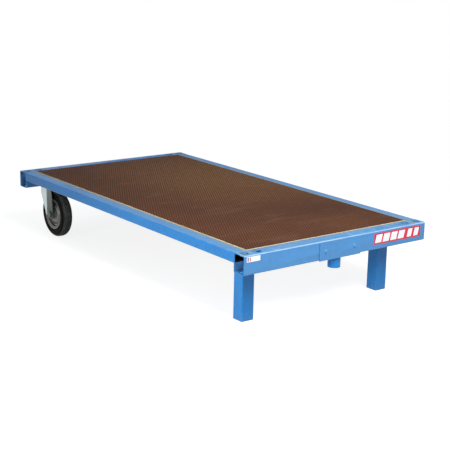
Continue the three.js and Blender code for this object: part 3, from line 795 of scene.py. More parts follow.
def birch_veneers():
    """Pale and dark plies of sawn birch, with fibres that a saw has torn a little."""
    material, tree, place = new_finish("birch veneers, sawn edge")
    spot = add(tree, "ShaderNodeSeparateXYZ", [place], out=None)
    depth = spot["Z"].mask(DECK_LOW.z, DECK_HIGH.z, 0, PLY_VENEERS / 2)
    ply = add(tree, "ShaderNodeMath", [depth, 0.5], operation="PINGPONG")
    fibre = patches(tree, place, 240, 4, stretch=(0.25, 0.25, 3))
    colour = tinted(tree, "#ece3c4", "#c9b083", ply.mask(0.2, 0.3))
    colour = tinted(tree, colour, "#8c6a42", fibre.mask(0.45, 0.7), 0.35)
    return finished(material, tree, colour, 0.72, fibre, 0.15 * MM, 0.6)


FILM = phenolic_film()
VENEERS = birch_veneers()
print(PLY_VENEERS, "veneers in", round(size("deck_panel").z / MM), "mm")

# %% [markdown]
# ## Drawn tubes
# The rails, the cross tubes and the legs are drawn steel tube, sawn to length. Each is an outline
# with rounded corners, pushed along one axis, with its bore as a second outline inside it. The bore
# keeps its mill scale, because paint doesn't reach far into a tube.

# %% Rails, cross tubes and legs
CROSS_TUBES = ("castor_beam", "leg_beam", "cross_tube_1", "cross_tube_2", "cross_tube_3")


def tube_between(node, axis, corner):
    """A sawn tube that fills the node's box."""
    along = "XYZ".index(axis)
    u, v = (i for i in range(3) if i != along)
    across, place = size(node), Vector((middle(node)[u], middle(node)[v]))
    outer, bore = (rounded_outline(across[u] - 2 * wall, across[v] - 2 * wall, corner - wall)
                   for wall in (0, TUBE_WALL))
    outer, bore = ([p + place for p in outline] for outline in (outer, bore))
    return prism(outer, axis, low(node)[along], high(node)[along], bore)


tubes = [(f"{side}_side_tube", "X", TUBE_CORNER) for side in SIDES]
tubes += [(node, "Y", TUBE_CORNER) for node in CROSS_TUBES]
tubes += [(f"{side}_leg", "Z", LEG_CORNER) for side in SIDES]
for node, axis, corner in tubes:
    sawn = broken_arrises(tube_between(node, axis, corner), 0.4 * MM, sharper_than=50)
    add_piece(node + "_drawn", sawn, [ENAMEL, BORE], "paint", [node])
print(len(tubes), "tubes sawn, rails", round(size("left_side_tube").x / MM), "mm long")

# %% [markdown]
# ## Pressed end channels
# Each end of the frame is one steel strip, folded on a press brake into a web, two flanges and a
# lip that the rails bear on. Four stake holes are then punched through both flanges, and the punch
# draws a short collar below the top one. The section is a bent outline pushed across the cart. A
# generator carries the punch to each hole: a straight cutter, and a cone on the upper side, which
# leaves the small funnel that a deburred hole has.

# %% The punch


def make_punch():
    """Cuts round holes where the points of an object lie. The sheet lies flat round them."""
    tree, given, close = new_generator("punched round holes", places="object", radius="length",
                                       sheet="length", funnel="length", turn="vector")
    radius, sheet, funnel = given["radius"], given["sheet"], given["funnel"]
    places = add(tree, "GeometryNodeObjectInfo", {"Object": given["places"]}, "Geometry")
    turned = add(tree, "FunctionNodeEulerToRotation", [given["turn"]])
    cylinder = add(tree, "GeometryNodeMeshCylinder", {"Vertices": 48, "Radius": radius, "Depth": sheet * 2})
    cone = add(tree, "GeometryNodeMeshCone", {"Vertices": 48, "Radius Top": radius + funnel * 2,
                                              "Radius Bottom": radius, "Depth": funnel * 2})
    lift = add(tree, "ShaderNodeCombineXYZ", {"Z": sheet * 0.5 - funnel})
    cone = add(tree, "GeometryNodeTransform", {0: cone, "Translation": lift})
    plate = given["Geometry"]
    for cutter in (cylinder, cone):
        cutters = add(tree, "GeometryNodeInstanceOnPoints",
                      {"Points": places, "Instance": cutter, "Rotation": turned})
        cutters = add(tree, "GeometryNodeRealizeInstances", [cutters])
        plate = add(tree, "GeometryNodeMeshBoolean", [plate, cutters],
                    operation="DIFFERENCE", solver="MANIFOLD")
    return close(plate)


PUNCH = make_punch()


def punched(mesh, points, radius, sheet=SHEET, funnel=0.2 * MM, turn=(0, 0, 0)):
    """A mesh with round holes, each with a funnelled edge on its upper side."""
    return grown(PUNCH, mesh, places=points_mesh(points), radius=radius, sheet=sheet, funnel=funnel,
                 turn=turn, finish=ENAMEL)


def make_cutter(operation):
    """Cuts the shape of another object out of a mesh, or keeps what lies inside it."""
    tree, given, close = new_generator(f"{operation.lower()} of two shapes", shape="object")
    shape = add(tree, "GeometryNodeObjectInfo", {"Object": given["shape"]}, "Geometry")
    # a difference has one first shape, and an intersection takes all shapes alike
    first = 0 if operation == "DIFFERENCE" else 1
    boolean = add(tree, "GeometryNodeMeshBoolean", {first: given["Geometry"]},
                  operation=operation, solver="MANIFOLD")
    tree.links.new(shape.socket, boolean.socket.node.inputs[1])
    return close(boolean)


CUTTER, KEEPER = make_cutter("DIFFERENCE"), make_cutter("INTERSECT")
print("the punch has", len(PUNCH.nodes), "nodes")

# %% Fold the channels
SHEET_BEND = 6 * MM         # outer radius of the bends
DECK_GAP = 2 * MM
FAR_OUT = 0.6               # metres, past the end of any channel


def end_channel(nodes, direction):
    """The channel at the front (1) or the back (-1), across the whole cart, before punching."""
    web = max(abs(low(nodes[0]).x), abs(high(nodes[0]).x))
    lip = web - size(nodes[0]).x
    top, bottom = high(nodes[0]).z, low(nodes[0]).z
    half = SHEET / 2
    path = [(lip + SHEET, top - half), (web - half, top - half), (web - half, bottom + half),
            (lip + half, bottom + half), (lip + half, DECK_LOW.z)]
    section = bent_outline([(direction * x, z) for x, z in path], SHEET, SHEET_BEND - half, steps=8)
    strip = prism(section, "Y", low(nodes[1]).y, high(nodes[0]).y)
    # the lip is notched at both ends, where the rails bear on it
    for side in (1, -1):
        near, far = sorted((side * (RAIL_LOW.y - DECK_GAP), side * FAR_OUT))
        x0, x1 = sorted((direction * (lip - SHEET), direction * (lip + 2 * SHEET)))
        notch = prism(rectangle(x0, near, x1, far), "Z", RAIL_LOW.z, top - 2 * SHEET)
        strip = grown(CUTTER, strip, shape=notch, finish=ENAMEL)
    return broken_arrises(strip)


print("channels are", round(size("front_channel_left").x / MM), "mm deep")

# %% Punch the channels
STAKE_HOLE_RADIUS = 18 * MM
STAKE_FROM_WEB = 36 * MM
STAKE_FROM_END = (28 * MM, 96 * MM)
COLLAR = 6 * MM             # how far the drawn edge of a stake hole hangs below the flange
COLLAR_WALL = 1.8 * MM
COUPLING_SHANK = 5 * MM     # radius
THROUGH_WEB = (0, math.pi / 2, 0)


def collar(x, y, top):
    """The drawn edge of a stake hole, which hangs below the flange and guides the stake."""
    rim, foot = STAKE_HOLE_RADIUS, top - COLLAR
    profile = [(rim, top), (rim + COLLAR_WALL, top), (rim + COLLAR_WALL, foot),
               (rim + 0.8 * MM, foot - 0.4 * MM), (rim, foot)]
    ring = lathe(profile, (x, y, 0), "Z", 48)
    for polygon in ring.polygons:
        polygon.material_index = 1
        polygon.use_smooth = True
    return ring


def coupling_places(x):
    """Where the coupling's two bolts pass a sheet whose middle lies at x."""
    return [(x, middle(f"coupling_bolt_{side}").y, middle("coupling_bolt_left").z) for side in SIDES]


for direction, place in ((1, "front"), (-1, "rear")):
    nodes = [f"{place}_channel_{side}" for side in SIDES]
    strip = end_channel(nodes, direction)
    under, top = low(nodes[0]).z + SHEET / 2, high(nodes[0]).z
    hole_x = direction * (max(abs(low(nodes[0]).x), abs(high(nodes[0]).x)) - STAKE_FROM_WEB)
    plan = [(hole_x, side * (RAIL_HIGH.y - inset)) for side in (1, -1) for inset in STAKE_FROM_END]
    for flange in (top - SHEET / 2, under):
        strip = punched(strip, [(x, y, flange) for x, y in plan], STAKE_HOLE_RADIUS, funnel=0.6 * MM)
    if place == "front":
        socket = (middle("tow_socket").x, 0, under)
        strip = punched(strip, [socket], size("tow_socket").x / 2 + HOLE_PLAY)
        bolts = coupling_places(high(nodes[0]).x - SHEET / 2)
        strip = punched(strip, bolts, COUPLING_SHANK + HOLE_PLAY, turn=THROUGH_WEB)
    strip.materials.clear()     # the punch numbers its finish 1, and this puts every face back to 0
    collars = [collar(x, y, top - SHEET + 0.1 * MM) for x, y in plan]
    add_piece(f"{place}_channel_pressed", joined(strip, *collars), [ENAMEL, STAKE_WORN_AND_SHADED], "paint", nodes)
    print(place, "channel:", 2 * len(plan), "stake holes in two flanges,", len(strip.polygons), "faces")

# %% [markdown]
# ## Plates, gussets and the coupling
# Foot plates close the legs, a three-cornered gusset stiffens each leg against braking, and a flat
# plate is bolted over the middle of the front web, where the tow bar pushes. The tow socket is a
# short round tube through the lower flange. Plates are sawn outlines; the socket is turned on a
# lathe, which in a script is a profile spun round an axis.

# %% Plates and gussets
GUSSET_NOSE = 10 * MM
for side in SIDES:
    foot = f"{side}_foot_plate"
    outline = [p + middle(foot).xy for p in rounded_outline(*size(foot).xy, LEG_CORNER)]
    plate = broken_arrises(prism(outline, "Z", low(foot).z, high(foot).z), 0.8 * MM)
    add_piece(f"{side}_foot_sawn", plate, [ENAMEL], "paint", [foot])

    gusset = f"{side}_leg_gusset"
    a, b = low(gusset), high(gusset)
    outline = [Vector(p) for p in ((b.x, b.z), (a.x, b.z), (a.x, b.z - GUSSET_NOSE),
                                   (b.x - GUSSET_NOSE, a.z), (b.x, a.z))]
    web = broken_arrises(prism(outline, "Y", a.y, b.y))
    add_piece(f"{side}_gusset_sawn", web, [ENAMEL], "paint", [gusset])
print("feet and gussets sawn")

# %% Coupling plate and tow socket
a, b = low("coupling_plate"), high("coupling_plate")
plate = broken_arrises(prism(rectangle(a.y, a.z, b.y, b.z), "X", a.x, b.x), 0.8 * MM, 3)
plate = punched(plate, coupling_places((a.x + b.x) / 2), COUPLING_SHANK + HOLE_PLAY, turn=THROUGH_WEB)
add_piece("coupling_plate_sawn", plate, [ENAMEL], "paint", ["coupling_plate"])

SOCKET_WALL = 4 * MM
MOUTH = 1.2 * MM            # the chamfer that leads the pin in
RIM_CHAMFER = 0.8 * MM
a, b, centre = low("tow_socket"), high("tow_socket"), middle("tow_socket")
outer = size("tow_socket").x / 2
bore = outer - SOCKET_WALL
profile = [(outer, a.z + RIM_CHAMFER), (outer, b.z), (bore, b.z), (bore, a.z + MOUTH),
           (bore + MOUTH, a.z), (outer - RIM_CHAMFER, a.z)]
socket = lathe(profile, (centre.x, centre.y, 0), "Z", 72)
add_piece("tow_socket_turned", broken_arrises(socket, 0), [ENAMEL], "paint", ["tow_socket"])
print("socket", round(2 * outer / MM), "mm across, bore", round(2 * bore / MM), "mm")

# %% [markdown]
# ## Plywood deck
# One panel drops into the frame, with a saw-cut gap of two millimetres all round, and stands two
# millimetres proud of the rails. Its faces carry the film. The arris is broken with sandpaper, which
# bares the pale veneers.

# %% Saw the deck
outline = rectangle(*DECK_LOW.xy, *DECK_HIGH.xy)
panel = broken_arrises(prism(outline, "Z", DECK_LOW.z, DECK_HIGH.z), 1.1 * MM)
for polygon in panel.polygons:
    polygon.material_index = 0 if abs(polygon.normal.z) > 0.999 else 1
add_piece("deck_panel_film_faced", panel, [FILM, VENEERS], "plywood", ["deck_panel"])
print("deck", [round(v / MM) for v in size("deck_panel")], "mm")

# %% [markdown]
# ## Weld beads
# The frame is arc-welded. A bead is the mark of a torch that moves in small steps, so it is a
# rounded ridge with a ripple every three millimetres or so. The generator takes the seams as paths,
# cuts each into short steps, and skins them with a round profile whose size follows the ripple. The
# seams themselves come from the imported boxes: where a tube ends on a rail, there is a seam.

# %% The weld generator
BEAD = 3.2 * MM             # radius of a full bead
GROUND_BEAD = 2.2 * MM
RIPPLE = 3.4 * MM
RIPPLE_STEPS = 5            # points along one ripple


def make_welder():
    tree, given, close = new_generator("weld beads", radius="length", ripple="length",
                                       unevenness="length")
    path = add(tree, "GeometryNodeMeshToCurve", [given["Geometry"]])
    path = add(tree, "GeometryNodeResampleCurve", {
        "Curve": path, "Length": given["ripple"] / RIPPLE_STEPS}, mode="LENGTH")
    along = add(tree, "GeometryNodeSplineParameter", out="Length")
    ridge = along / given["ripple"] * math.pi
    for operation, value in (("SINE", 0), ("ABSOLUTE", 0), ("POWER", 0.6)):
        ridge = add(tree, "ShaderNodeMath", [ridge, value], operation=operation)
    wander = patches(tree, add(tree, "GeometryNodeInputPosition"), 90)
    swell = ridge * 0.22 + wander * given["unevenness"]
    ring = add(tree, "GeometryNodeCurvePrimitiveCircle", {"Resolution": 8, "Radius": 1.0})
    bead = add(tree, "GeometryNodeCurveToMesh", {
        "Curve": path, "Profile Curve": ring, "Scale": given["radius"] * (swell + 0.68), "Fill Caps": True})
    return close(add(tree, "GeometryNodeSetShadeSmooth", [bead]))


WELDER = make_welder()


def welded(paths, radius=BEAD):
    """Beads along open or closed paths. A closed path ends with its first point."""
    points, edges = [], []
    for path in paths:
        closed = path[0] == path[-1]
        corners = path[:-1] if closed else path
        start = len(points)
        points += corners
        edges += [(start + i, start + i + 1) for i in range(len(corners) - 1)]
        if closed:
            edges.append((start + len(corners) - 1, start))
    return grown(WELDER, points_mesh(points, edges), radius=radius, ripple=RIPPLE,
                 unevenness=0.3, finish=ENAMEL)


print("a ripple every", round(RIPPLE / MM, 1), "mm")

# %% Find the seams
SINK = 0.4 * MM             # how far a bead's middle stands off the corner that it fills


def closed_ring(points, centre):
    """A ring of points round a centre, which ends with its first point."""
    ring = [Vector(centre) + Vector(p) for p in points]
    return ring + ring[:1]


def leg_seams(side):
    """Round the leg's top, and along both faces of its gusset."""
    leg, gusset = f"{side}_leg", f"{side}_leg_gusset"
    top = high(leg).z - SINK
    outline = rounded_outline(size(leg).x + 2 * SINK, size(leg).y + 2 * SINK, LEG_CORNER + SINK, 3)
    seams = [closed_ring([(*p, top) for p in outline], (*middle(leg).xy, 0))]
    a, b = low(gusset), high(gusset)
    return seams + [[(a.x, y, top), (b.x - SINK, y, top), (b.x - SINK, y, a.z)]
                    for y in (a.y - SINK, b.y + SINK)]


def rail_seams(side):
    """The rail's ends on the channels' lips: under the rail, and up beside the tall lip."""
    y_in, y_out = sorted((low(f"{side}_side_tube").y, high(f"{side}_side_tube").y), key=abs)
    inset, under = math.copysign(SINK, y_in), RAIL_LOW.z - SINK
    return [[(lip, y_out - 5 * inset, under), (lip, y_in, under),
             (lip, y_in - inset, high("cross_tube_1").z - 5 * MM)]
            for lip in (RAIL_HIGH.x - SHEET - SINK, RAIL_LOW.x + SHEET + SINK)]


def mount_seams(side):
    """Where the castor's mounting plate meets the castor beam."""
    mount, beam, sign = f"{side}_castor_mount_plate", "castor_beam", 1 if side == "left" else -1
    near, far = sorted((abs(low(mount).y), abs(high(mount).y)))
    under = low(beam).z - SINK / 2
    return [[(x, sign * (near + 3 * MM), under), (x, sign * (min(far, RAIL_LOW.y) - 2 * MM), under)]
            for x in (low(beam).x - SINK, high(beam).x + SINK)]


print("both legs have", len(leg_seams("left") + leg_seams("right")), "seams")

# %% Weld the frame
GROUND_DEPTH = 1.9 * MM     # of a ground bead's middle below the frame's top


def frame_seams():
    seams = []
    for node in CROSS_TUBES:
        a, b = low(node), high(node)
        top, under = b.z - 4 * MM, a.z + 1.6 * MM
        for y in (a.y + SINK, b.y - SINK):
            seams.append([(a.x - SINK, y, top), (a.x - SINK, y, under), (b.x + SINK, y, under),
                          (b.x + SINK, y, top)])
    for side in SIDES:
        seams += leg_seams(side) + rail_seams(side) + mount_seams(side)
    reach = size("tow_socket").x / 2 + SINK
    ring = circle_ring(reach, low("front_channel_left").z - SINK, "Z", 32)
    return seams + [closed_ring(ring, (middle("tow_socket").x, 0, 0))]


def ground_seams():
    """Butt seams on the frame's top, where the flanges meet the rails. They are ground nearly flush."""
    height = RAIL_HIGH.z - GROUND_DEPTH
    return [[(x, low(rail).y + TUBE_CORNER, height), (x, high(rail).y - TUBE_CORNER, height)]
            for rail in (f"{side}_side_tube" for side in SIDES) for x in (RAIL_LOW.x, RAIL_HIGH.x)]


beads = joined(welded(frame_seams()), welded(ground_seams(), GROUND_BEAD))
add_piece("weld_beads", beads, [ENAMEL], "paint")
print(len(frame_seams()) + len(ground_seams()), "seams,", len(beads.polygons), "faces of bead")

# %% [markdown]
# ## Screws and nuts
# A hexagon head is cut from hexagon bar and then chamfered by a cone, which leaves a round face and
# six curved shoulders. Following the hexagon's true radius round each side gives both at once. The
# threads are helices: a small ridge swept along a spiral by Geometry Nodes. Another generator sets a
# finished screw or nut at each of its places.

# %% Hexagons
FACE = 0.93                 # radius of the chamfer's circle, in parts of half the width across flats
CHAMFER = math.radians(30)


def hexagon_ring(across, along, axis, face=0, steps=12):
    """Points round a hexagon. With face 1 or -1, they lie on the cone that chamfers that end."""
    points = []
    for step in range(6 * steps):
        angle = 2 * math.pi * step / (6 * steps)
        radius = across / 2 / math.cos((angle % (math.pi / 3)) - math.pi / 6)
        drop = face * max(0.0, radius - across / 2 * FACE) * math.tan(CHAMFER)
        points.append(in_space(axis, (radius * math.cos(angle), radius * math.sin(angle)), along - drop))
    return points


def hexagon_nut(across, bore, thickness, axis="Z"):
    """A nut from 0 to its thickness along the axis."""
    face, lead = across / 2 * FACE, 0.8 * MM
    rings = [circle_ring(face, 0, axis), hexagon_ring(across, 0, axis, -1),
             hexagon_ring(across, thickness, axis, 1)]
    inside = [(face, thickness), (bore + lead, thickness), (bore, thickness - lead), (bore, lead),
              (bore + lead, 0)]
    return loft(rings + [circle_ring(radius, along, axis) for radius, along in inside], True)


def hexagon_screw(across, head, shank, length, axis="Z"):
    """A screw with its head below 0, dished on top, and its shank along the axis."""
    flat, dish = across / 2, 0.3 * MM
    top = [(0, dish - head), (flat * 0.6, dish - head), (flat * 0.68, -head), (flat * FACE, -head)]
    under = [(flat * 0.95, 0), (shank, 0), (shank, length - 1.2 * MM), (shank - 1 * MM, length), (0, length)]
    top, under = ([circle_ring(radius, along, axis) for radius, along in part] for part in (top, under))
    head = [hexagon_ring(across, -head, axis, -1), hexagon_ring(across, -0.4 * MM, axis)]
    return loft(top + head + under, False)


print("a nut 17 mm across has corners", round(17 / math.cos(math.pi / 6), 1), "mm apart")

# %% Threads, and setting pieces in place


def make_threader():
    tree, given, close = new_generator("screw thread", radius="length", pitch="length",
                                       rotations="length", depth="length")
    spiral = add(tree, "GeometryNodeCurveSpiral", {
        "Resolution": 28, "Rotations": given["rotations"], "Start Radius": given["radius"],
        "End Radius": given["radius"], "Height": given["pitch"] * given["rotations"]})
    ridge = add(tree, "GeometryNodeCurvePrimitiveCircle", {"Resolution": 4, "Radius": 1.0})
    return close(add(tree, "GeometryNodeCurveToMesh", {
        "Curve": spiral, "Profile Curve": ridge, "Scale": given["depth"], "Fill Caps": True}))


def make_setter():
    tree, given, close = new_generator("set pieces at points", piece="object")
    shape = add(tree, "GeometryNodeObjectInfo", {"Object": given["piece"]}, "Geometry")
    return close(add(tree, "GeometryNodeInstanceOnPoints", {"Points": given["Geometry"], "Instance": shape}))


THREADER, SETTER = make_threader(), make_setter()
TO_AXIS = {"X": Matrix.Rotation(math.pi / 2, 4, "Y"), "Y": Matrix.Rotation(-math.pi / 2, 4, "X"),
           "Z": Matrix.Identity(4)}


def thread(radius, pitch, start, end, axis="Z"):
    """A helical ridge round a shank, from start to end along the axis."""
    ridge = grown(THREADER, points_mesh([(0, 0, 0)]), radius=radius - 0.1 * MM, pitch=pitch,
                  rotations=abs(end - start) / pitch, depth=pitch * 0.42, finish=ZINC)
    ridge.transform(TO_AXIS[axis] @ Matrix.Translation((0, 0, min(start, end))))
    return ridge


def set_at(shape, points, finish):
    """Copies of a shape at points, as one mesh."""
    return facets(grown(SETTER, points_mesh(points), piece=shape, finish=finish))


def moved(mesh, offset):
    mesh.transform(Matrix.Translation(Vector(offset)))
    return mesh


def facets(mesh, angle=30):
    """Smooth shading that stops at sharp corners."""
    mesh.polygons.foreach_set("use_smooth", [True] * len(mesh.polygons))
    mesh.set_sharp_from_angle(angle=math.radians(angle))
    return mesh


print("generators:", THREADER.name, "|", SETTER.name)

# %% Castor screws and nuts
CASTOR_SHANK = 5 * MM       # radius of an M10 screw
CASTOR_HEAD = 6.4 * MM
CASTOR_PITCH = 1.5 * MM
THREAD_DEPTH = 0.5 * MM
castor_places = [f"{end}_{side}" for end in ("rear", "front") for side in SIDES]
screws, nuts = ({side: [f"{side}_castor_{kind}_{place}" for place in castor_places] for side in SIDES}
                for kind in ("bolt", "nut"))
across_flats = min(size(nuts["left"][0]).xy)
shank_length = size(screws["left"][0]).z - CASTOR_HEAD
core = CASTOR_SHANK - THREAD_DEPTH
screw = joined(hexagon_screw(across_flats, CASTOR_HEAD, core, shank_length),
               thread(core, CASTOR_PITCH, shank_length - 13 * MM, shank_length - CASTOR_PITCH))
nut = hexagon_nut(across_flats, CASTOR_SHANK, size(nuts["left"][0]).z)
for side in SIDES:
    for kind, shape, nodes, rise in (("screws", screw, screws[side], CASTOR_HEAD),
                                     ("nuts", nut, nuts[side], 0)):
        seats = [(*middle(node).xy, low(node).z + rise) for node in nodes]
        add_piece(f"{side}_castor_{kind}", set_at(shape, seats, AGED), [AGED], "zinc", nodes)
print("8 screws and 8 nuts,", round(across_flats / MM), "mm across flats")

# %% Cup bolts of the coupling
bolt, nut = "coupling_bolt_left", "coupling_nut_left"
plate_face, tip = high("coupling_plate").x, low(bolt).x
head_rise, head_radius = high(bolt).x - plate_face, size(bolt).z / 2
sphere = (head_radius ** 2 + head_rise ** 2) / (2 * head_rise)
core = COUPLING_SHANK - THREAD_DEPTH
profile = [(radius, plate_face + math.sqrt(sphere ** 2 - radius ** 2) - sphere + head_rise)
           for radius in (head_radius * step / 8 for step in range(9))]
profile += [(head_radius - 0.3 * MM, plate_face), (core, plate_face), (core, tip + 1 * MM),
            (core - 0.9 * MM, tip), (0, tip)]
cup_bolt = joined(lathe(profile, (0, 0, 0), "X", 40, closed=False),
                  thread(core, CASTOR_PITCH, tip + CASTOR_PITCH, high(nut).x + 2 * MM, "X"))
hexagon = hexagon_nut(min(size(nut).yz), COUPLING_SHANK, size(nut).x, "X")
for name, kind, shape, start, finish, slot in (
        ("coupling_cup_bolts", "bolt", cup_bolt, 0, ENAMEL, "paint"),
        ("coupling_nuts", "nut", hexagon, low(nut).x, ZINC, "zinc")):
    nodes = [f"coupling_{kind}_{side}" for side in SIDES]
    seats = [(start, middle(node).y, middle(node).z) for node in nodes]
    add_piece(name, set_at(shape, seats, finish), [finish], slot, nodes)
print("cup heads", round(2 * head_radius / MM), "mm across,", round(head_rise / MM), "mm high")

# %% [markdown]
# ## Fixed castors
# A bought-in castor is a pressed steel fork on a flat plate. Four screws hold its plate to a mounting
# plate, which is welded under the castor beam. The fork starts as a strip bent to a saddle, and a
# blanking tool then gives both arms their outline: a wide shoulder that narrows to a round boss at
# the axle. Here the bent strip and the blanked outline are two prisms, and the fork is what lies in
# both. The rear wing of each arm is pressed inwards a little, which stiffens the arm.

# %% Plates of the castors
PLATE_CORNER = 8 * MM
for side in SIDES:
    shanks = [middle(node) for node in screws[side]]
    for part, finish, slot in (("castor_mount_plate", ENAMEL, "paint"), ("castor_plate", ZINC, "zinc")):
        node = f"{side}_{part}"
        centre, across = middle(node), size(node)
        outline = [p + centre.xy for p in rounded_outline(across.x, across.y, PLATE_CORNER)]
        plate = broken_arrises(prism(outline, "Z", low(node).z, high(node).z), 0.6 * MM)
        plate = punched(plate, [(s.x, s.y, centre.z) for s in shanks], CASTOR_SHANK + HOLE_PLAY,
                        across.z, 0.3 * MM)
        add_piece(f"{node}_sawn", plate, [finish], slot, [node])
print("plates drilled")

# %% Forks
FORK_BEND = 7 * MM          # radius at the middle of the sheet
FORK_KNEE = 98 * MM         # above the axle, where the arm starts to narrow
FORK_HEEL = (-50 * MM, -8 * MM)
FORK_TOP_FRONT = 6 * MM     # front corner of the saddle, ahead of the axle
FORK_CREASE = -38 * MM      # ahead of the axle
CREASE_WIDTH = 5 * MM
WING_LEAN = 0.07            # inwards, per length behind the crease
SADDLE_MIDDLE = 20 * MM     # the saddle's top is left flat this far from its middle
AXLE_BORE = 10.3 * MM       # radius of the holes in the arms and in the bush
BUSH_GAP = 0.3 * MM         # between the bush's end and the arm


def arm_outline(start_x, top, boss):
    """From the shoulder down the slanted back edge, round the boss and up the front."""
    heel, front = Vector(FORK_HEEL), Vector((FORK_TOP_FRONT, top))
    start = math.atan2(heel.y, heel.x) + math.acos(boss / heel.length)
    end = math.atan2(front.y, front.x) - math.acos(boss / front.length)
    shoulder = [front, Vector((start_x, top)), Vector((start_x, FORK_KNEE)), heel]
    return shoulder + arc((0, 0), boss, start, end, 24)


def wing_pressed(mesh):
    """Creases the arms behind the axle, and leans what lies behind the crease inwards."""
    bm = bmesh.new()
    bm.from_mesh(mesh)
    for offset in (FORK_CREASE, FORK_CREASE - CREASE_WIDTH):
        bmesh.ops.bisect_plane(bm, geom=bm.verts[:] + bm.edges[:] + bm.faces[:],
                               plane_co=(offset, 0, 0), plane_no=(1, 0, 0))
    for vertex in bm.verts:
        if abs(vertex.co.y) > SADDLE_MIDDLE:
            behind = max(0.0, FORK_CREASE - vertex.co.x)
            vertex.co.y -= math.copysign(behind * WING_LEAN, vertex.co.y)
    bmesh.ops.triangulate(bm, faces=[f for f in bm.faces if len(f.verts) > 4])
    return outward(bm)


def fork(side):
    node, axle = f"{side}_castor_fork", middle(f"{side}_wheel_hub")
    a, b = low(node) - axle, high(node) - axle
    sheet = b.y - (high(f"{side}_wheel_bush").y - axle.y + BUSH_GAP)
    arm, floor, saddle = b.y - sheet / 2, a.z - 1 * MM, b.z - sheet / 2
    bent = bent_outline([(-arm, floor), (-arm, saddle), (arm, saddle), (arm, floor)], sheet, FORK_BEND, 8)
    blank = prism(arm_outline(a.x, b.z, -a.z), "Y", -b.y - 1 * MM, b.y + 1 * MM)
    bore = prism(arc((0, 0), AXLE_BORE, 0, 2 * math.pi, 48)[:-1], "Y", -b.y - 2 * MM, b.y + 2 * MM)
    pressed = grown(KEEPER, prism(bent, "X", a.x, b.x), shape=blank, finish=ENAMEL)
    pressed = grown(CUTTER, pressed, shape=bore, finish=ENAMEL)
    return broken_arrises(moved(wing_pressed(pressed), axle), 0.8 * MM, 3, sharper_than=50)


for side in SIDES:
    add_piece(f"{side}_fork_pressed", fork(side), [FORK_ZINC], "zinc", [f"{side}_castor_fork"])
print("arms", round(size("left_castor_fork").z / MM), "mm tall")

# %% Axle bolts and nuts
AXLE_SHANK = 10 * MM
AXLE_HEAD = 13 * MM
AXLE_PITCH = 2.5 * MM
for side, turned in (("left", 0), ("right", math.pi)):
    bolt, nut = f"{side}_axle_bolt", f"{side}_axle_nut"
    flats, core = min(size(nut).xz), AXLE_SHANK - 0.9 * MM
    seat = size(f"{side}_castor_fork").y / 2          # from the middle plane to the outside of an arm
    grip, length = 2 * seat - 1 * MM, size(bolt).y - AXLE_HEAD
    plain = lathe([(0, 0), (AXLE_SHANK, 0), (AXLE_SHANK, grip - 1 * MM), (AXLE_SHANK - 1 * MM, grip),
                   (0, grip)], (0, 0, 0), "Y", 48, closed=False)
    screw = joined(hexagon_screw(flats, AXLE_HEAD, core, length, "Y"), plain,
                   thread(core, AXLE_PITCH, grip - 3 * MM, length - 1.5 * MM, "Y"))
    hexagon = hexagon_nut(flats, AXLE_SHANK, size(nut).y, "Y")
    for name, shape, start, node in (("screw", screw, -seat, bolt), ("nut", hexagon, seat, nut)):
        shape = moved(shape, (0, start, 0))
        shape.transform(Matrix.Translation(middle(f"{side}_wheel_hub")) @ Matrix.Rotation(turned, 4, "Z"))
        add_piece(f"{side}_axle_{name}_turned", facets(shape), [AGED], "zinc", [node])
print("axle screws", round(length / MM), "mm long under the head")

# %% [markdown]
# ## Wheels
# Each wheel has a rim of two pressed half shells, which grip the tyre between their flanges. A short
# tube welded into the shells is the hub, and a bronze sleeve is pressed into it. All of these are
# turned shapes, so each is a profile spun round the axle. Rivets through the shells hold them
# together. The solid rubber tyre is moulded: it has a raised ring on each side and a parting line
# round the tread.

# %% Rims and rivets
RIM_SHEET = 3 * MM
SHELL = [(26.3, 22), (42, 22), (58, 9), (70.5, 9), (70.5, 22), (84, 28)]     # mm: radius, from the middle
RIVETS = 6
RIVET_RING = 64.2 * MM
RIVET = (10.5 * MM, 4.2 * MM, 2.2 * MM)     # half its length, its head's radius and rise


def about_axle(profile, side, steps=128):
    return lathe(profile, middle(f"{side}_wheel_hub"), "Y", steps)


def rim_half(side, direction):
    shell = bent_outline([(radius * MM, along * MM) for radius, along in SHELL], RIM_SHEET, 3 * MM, 5)
    return about_axle([(p.x, direction * p.y) for p in shell], side)


def rivet(half, head, rise):
    """A stud with a domed head at both ends, about the Y axis."""
    dome = [(head * math.cos(t), half + rise * math.sin(t)) for t in (math.pi / 12 * i for i in range(6))]
    end = [(0, half + rise)] + dome[::-1] + [(head * 0.6, half)]
    return lathe(end + [(radius, -along) for radius, along in end[::-1]], (0, 0, 0), "Y", 24, closed=False)


def rim_rivets(side):
    seats = closed_ring(circle_ring(RIVET_RING, 0, "Y", RIVETS, 0.5), middle(f"{side}_wheel_hub"))[:-1]
    return set_at(rivet(*RIVET), seats, ZINC)


print("each rim", round(2 * SHELL[-1][0] + RIM_SHEET / MM), "mm across, with", RIVETS, "rivets")

# %% Hubs and bushes
HUB_BORE = 20 * MM
HUB_BEAD = 2 * MM
HUB_SEAM = 23.6 * MM        # from the wheel's middle


def sleeve(bore, node, lead):
    """The profile of a sleeve with chamfered ends, as wide as the node's box."""
    outer, end = size(node).x / 2, size(node).y / 2
    edge = [(bore, lead - end), (bore + lead, -end), (outer - lead, -end), (outer, lead - end)]
    return edge + [(radius, -along) for radius, along in edge[::-1]]


def welded_hub(side):
    hub = f"{side}_wheel_hub"
    beads = welded([closed_ring(circle_ring(size(hub).x / 2 + SINK, place, "Y", 32), middle(hub))
                    for place in (HUB_SEAM, -HUB_SEAM)], HUB_BEAD)
    return facets(joined(about_axle(sleeve(HUB_BORE, hub, 1 * MM), side, 96), beads))


